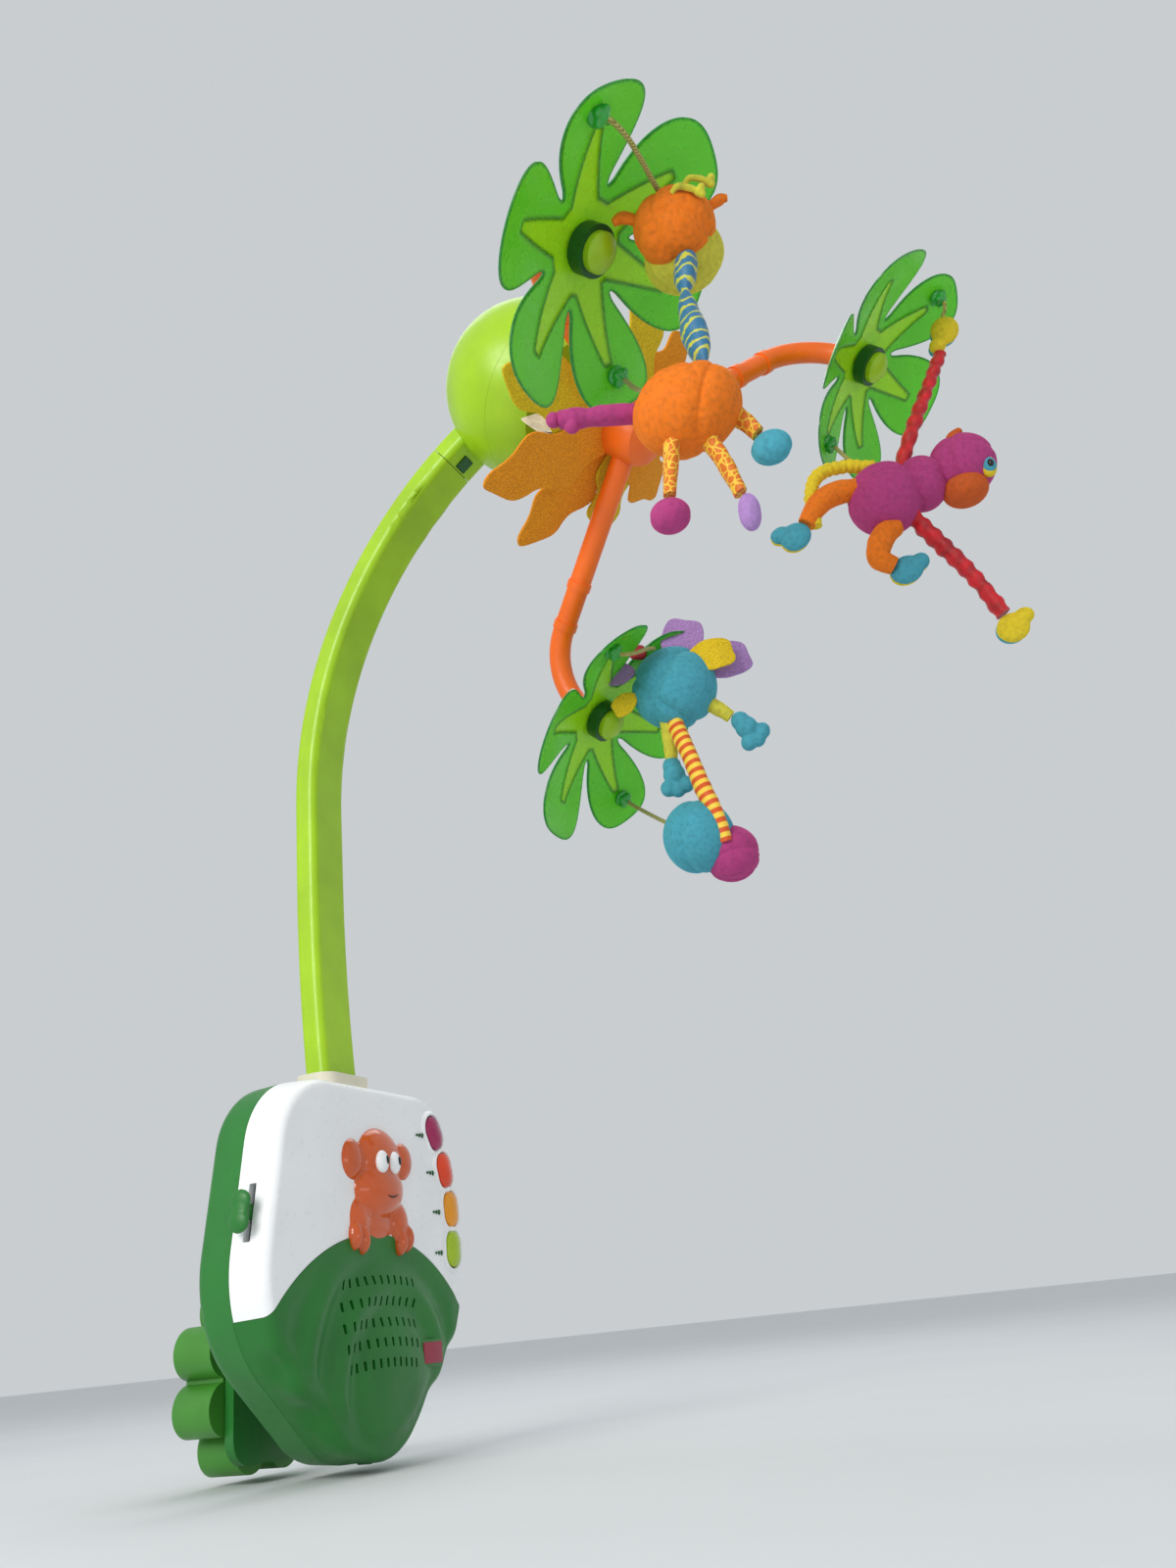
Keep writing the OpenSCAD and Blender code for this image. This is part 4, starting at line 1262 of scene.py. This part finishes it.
def make_monkey():
    body = "monkey"
    stuffed("monkey_body_skin", body, [((76, -345, 417), (19, 21, 21)), ((84, -366, 424), (15, 14, 16))],
            "magenta_fleece", [((0.4, -0.9, 0.2), 14), ((0.3, 0.1, 1), 2)], replaced=["monkey_body"])
    stuffed("monkey_head_ball", body, [((92, -388, 432), (17, 19, 18.5))], "magenta_fleece",
            [((0.1, 1, 0.1), 2), ((0.2, -0.1, 1), 5)], replaced=["monkey_head"])
    stuffed("monkey_muzzle", body, [((90, -387, 415), (12, 13, 9.5))], "rust_fleece", [((0, 0.1, 1), 5.5)],
            voxel=0.9, cloth=False)
    limb("monkey_ear", body, [(90, -384, 446), (91, -387, 452), (92, -391, 455)], [4.6, 5.4, 4.0],
         "rust_fleece", flat=0.5)
    eye = Vector((86, -402, 422))
    for name, size, look, step in (("monkey_eye_rim", (4.4, 4.4, 6.4), "yellow_fleece", 0),
                                   ("monkey_eye_white", (4.0, 4.0, 5.4), "teal_fleece", 1.0)):
        stuffed(name, body, [(eye + TOWARD * step, size)], look, [((0, 0, 1), 20)], voxel=0.5, cloth=False)
    lump("monkey_pupil", body, [(eye + TOWARD * 4.4, (1.6, 1.8, 2.4))], "black", 0.3, 2)
    arms = [([(81, -354, 432), (87, -368, 465), (92, -381, 492), (96, -391, 513)],
             ((98, -397, 530), (5, 8.5, 9.5)), ((98, -391, 521), (4.4, 5, 5))),
            ([(81, -356, 405), (87, -368, 384), (92, -380, 362), (96, -390, 337)],
             ((97, -393, 328), (5, 9, 8.6)), ((97, -400, 333), (4.4, 5.4, 4.6)))]
    for k, (points, palm, thumb) in enumerate(arms):
        limb(f"monkey_arm_{k + 1}", body, points, [5.0, 5.4, 4.6, 5.0], "red_satin", flat=0.72, ripple=0.13,
             turns=9, twist=60, steps=14, replaced=["monkey_limbs"] if k == 0 else [])
        mitten(f"monkey_mitten_{k + 1}", body, palm, thumb, "yellow_fleece", "teal_fleece")
    legs = [([(70, -334, 424), (62, -321, 422), (57, -311, 415), (55, -303, 404)],
             ((54, -296, 398), (5, 9, 8.5)), ((54, -288, 402), (4.4, 6, 5))),
            ([(75, -346, 398), (69, -339, 388), (69, -336, 378), (74, -342, 373)],
             ((77, -348, 370), (5, 9.5, 8.4)), ((78, -356, 373), (4.4, 5, 5)))]
    for k, (points, palm, thumb) in enumerate(legs):
        limb(f"monkey_leg_{k + 1}", body, points, [6.6, 6.8, 6.4, 5.0], "orange_fleece")
        mitten(f"monkey_foot_{k + 1}", body, palm, thumb, "teal_fleece", "yellow_fleece")
    limb("monkey_tail", body,
         [(74, -343, 438), (68, -328, 441), (60, -314, 436), (57, -308, 422), (57, -308, 402)],
         [4.0, 3.8, 3.9, 3.7, 3.2], "yellow_fleece", ripple=0.09, turns=16, steps=14)


def wing_line(length, width, count=48):
    """A round-ended feather from its root at the origin along +x."""
    line = []
    for a in full_turn(count):
        along = length / 2 * (1 - math.cos(a))
        scallop = 1 + 0.035 * math.cos(5 * a)
        line.append((along * scallop, width / 2 * math.sin(a) * (0.62 + 0.38 * along / length) * scallop))
    return line


def make_bird():
    body = "bird"
    stuffed("bird_body_skin", body, [((62, -211, 333), (22, 24, 23.5))], "teal_fleece",
            [((0.1, 0.8, 0.55), -3), ((0.2, 0.75, -0.6), 8)], replaced=["bird_body"])
    stuffed("bird_head_ball", body, [((66, -212, 244), (20, 19, 20))], "teal_fleece", [((0.2, 1, 0.2), 0)],
            replaced=["bird_head"])
    stuffed("bird_beak", body, [((74, -226, 233), (16, 15.5, 15))], "magenta_fleece",
            [((0.9, 0.3, 0), 0), ((0, 0.2, 1), -4)])
    limb("bird_neck_tube", body,
         [(60, -208, 316), (58, -212, 301), (56, -217, 285), (56, -221, 268), (57, -226, 250), (60, -228, 235)],
         [5.6, 5.8, 5.4, 5.8, 5.6, 5.0], "stripes", flat=0.75, steps=12, replaced=["bird_neck"])
    wings = [("wing_lilac_1", (60, -215, 344), (-0.15, -0.35, 0.9), 31, 30, "lilac_felt"),
             ("wing_lilac_2", (62, -224, 340), (0.25, -0.95, 0.25), 34, 27, "lilac_felt"),
             ("wing_yellow", (55, -222, 342), (0.12, -0.85, 0.12), 28, 23, "yellow_felt"),
             ("wing_lilac_3", (56, -192, 345), (-0.2, 1.0, 0.15), 18, 17, "lilac_felt"),
             ("wing_red", (57, -198, 350), (0.1, 0.55, 0.85), 13, 13, "red_felt"),
             ("wing_yellow_2", (56, -192, 330), (-0.1, 0.9, -0.35), 17, 15, "yellow_felt")]
    for k, (name, root, along, length, width, look) in enumerate(wings):
        ahead = Vector(along).normalized()
        across = ahead.cross(TOWARD).normalized()
        face = across.cross(ahead)

        def surface(x, y, root=root, ahead=ahead, across=across, face=face, k=k):
            curl = 0.010 * x * x + 0.9 * noise.noise(Vector((x / 9, y / 9, k * 2.3)))
            return (Vector(root) + ahead * x + across * y - face * (curl - 1.4 * k)) * MM

        wing, size, area = felt_piece("bird_" + name, wing_line(length, width), surface, look, step=1.6)
        seat(wing, body, look, *(["bird_trim"] if k == 0 else []))
    legs = [([(66, -226, 322), (69, -233, 316), (72, -238, 311)], (76, -245, 304), (0.35, -0.5, -0.8)),
            ([(60, -205, 314), (62, -204, 302), (64, -203, 292)], (65, -203, 283), (0.1, -0.1, -1))]
    for k, (points, foot, ahead) in enumerate(legs):
        limb(f"bird_leg_{k + 1}", body, points, [4.4, 4.0, 3.6], "lime_fleece")
        ahead = Vector(ahead).normalized()
        across = ahead.cross(TOWARD).normalized()
        toes = [(foot, (6, 6.4, 6.4))]
        for lean in (-0.7, 0, 0.7):
            tip = Vector(foot) + (ahead + across * lean).normalized() * 9
            toes.append((tuple(tip), (4.6, 4.6, 4.8)))
        toes.append((tuple(Vector(foot) - ahead * 5), (5.4, 5.4, 5.4)))
        stuffed(f"bird_foot_{k + 1}", body, toes, "teal_fleece", [(TOWARD, 0)], voxel=0.7, cloth=False)


make_giraffe()
make_monkey()
make_bird()


# ---- floor and light ----

FLOOR_REACH, FLOOR_GAP = 8, 0.004          # metres


def make_floor():
    low = cad_bounds[0][2] - FLOOR_GAP
    ring = [(FLOOR_REACH * math.cos(a), FLOOR_REACH * math.sin(a), low) for a in full_turn(64)]
    mesh = bpy.data.meshes.new("floor")
    mesh.from_pydata(ring, [], [tuple(range(64))])
    floor = put("floor", mesh)
    look = Look("floor_paint")
    look.colour(look.ramp(look.noise(6, 3), [(0.3, (216, 219, 221)), (0.7, (219, 222, 224))]))
    look.roughness(look.grey_ramp(look.noise(30, 3), 0.7, 0.85))
    floor.data.materials.append(look.material)


def make_lamp(name, place, target, size, power, colour):
    data = bpy.data.lights.new(name, "AREA")
    data.size = size
    data.energy = power
    data.color = colour
    lamp = put(name, data)
    lamp.location = place
    lamp.rotation_euler = (place - target).to_track_quat("Z", "Y").to_euler()


def make_light():
    world = bpy.data.worlds.new("pale_studio")
    world.use_nodes = True
    world.node_tree.nodes["Background"].inputs["Color"].default_value = linear((206, 210, 213))
    world.node_tree.nodes["Background"].inputs["Strength"].default_value = 0.95
    scene.world = world
    scene.view_settings.view_transform = "Standard"
    target = mm(-20, -200, 320)
    right, up, back = camera_axes()
    make_lamp("window", target - right * 0.9 + up * 0.75 + back * 0.9, target, 0.7, 14, (1.0, 0.98, 0.95))
    make_lamp("fill", target + right * 0.9 - up * 0.2 + back * 1.2, target, 1.4, 8, (0.97, 0.98, 1.0))
    make_lamp("rim", target + up * 0.7 - back * 1.1, target, 1.0, 5, (1.0, 1.0, 1.0))


make_floor()
make_light()
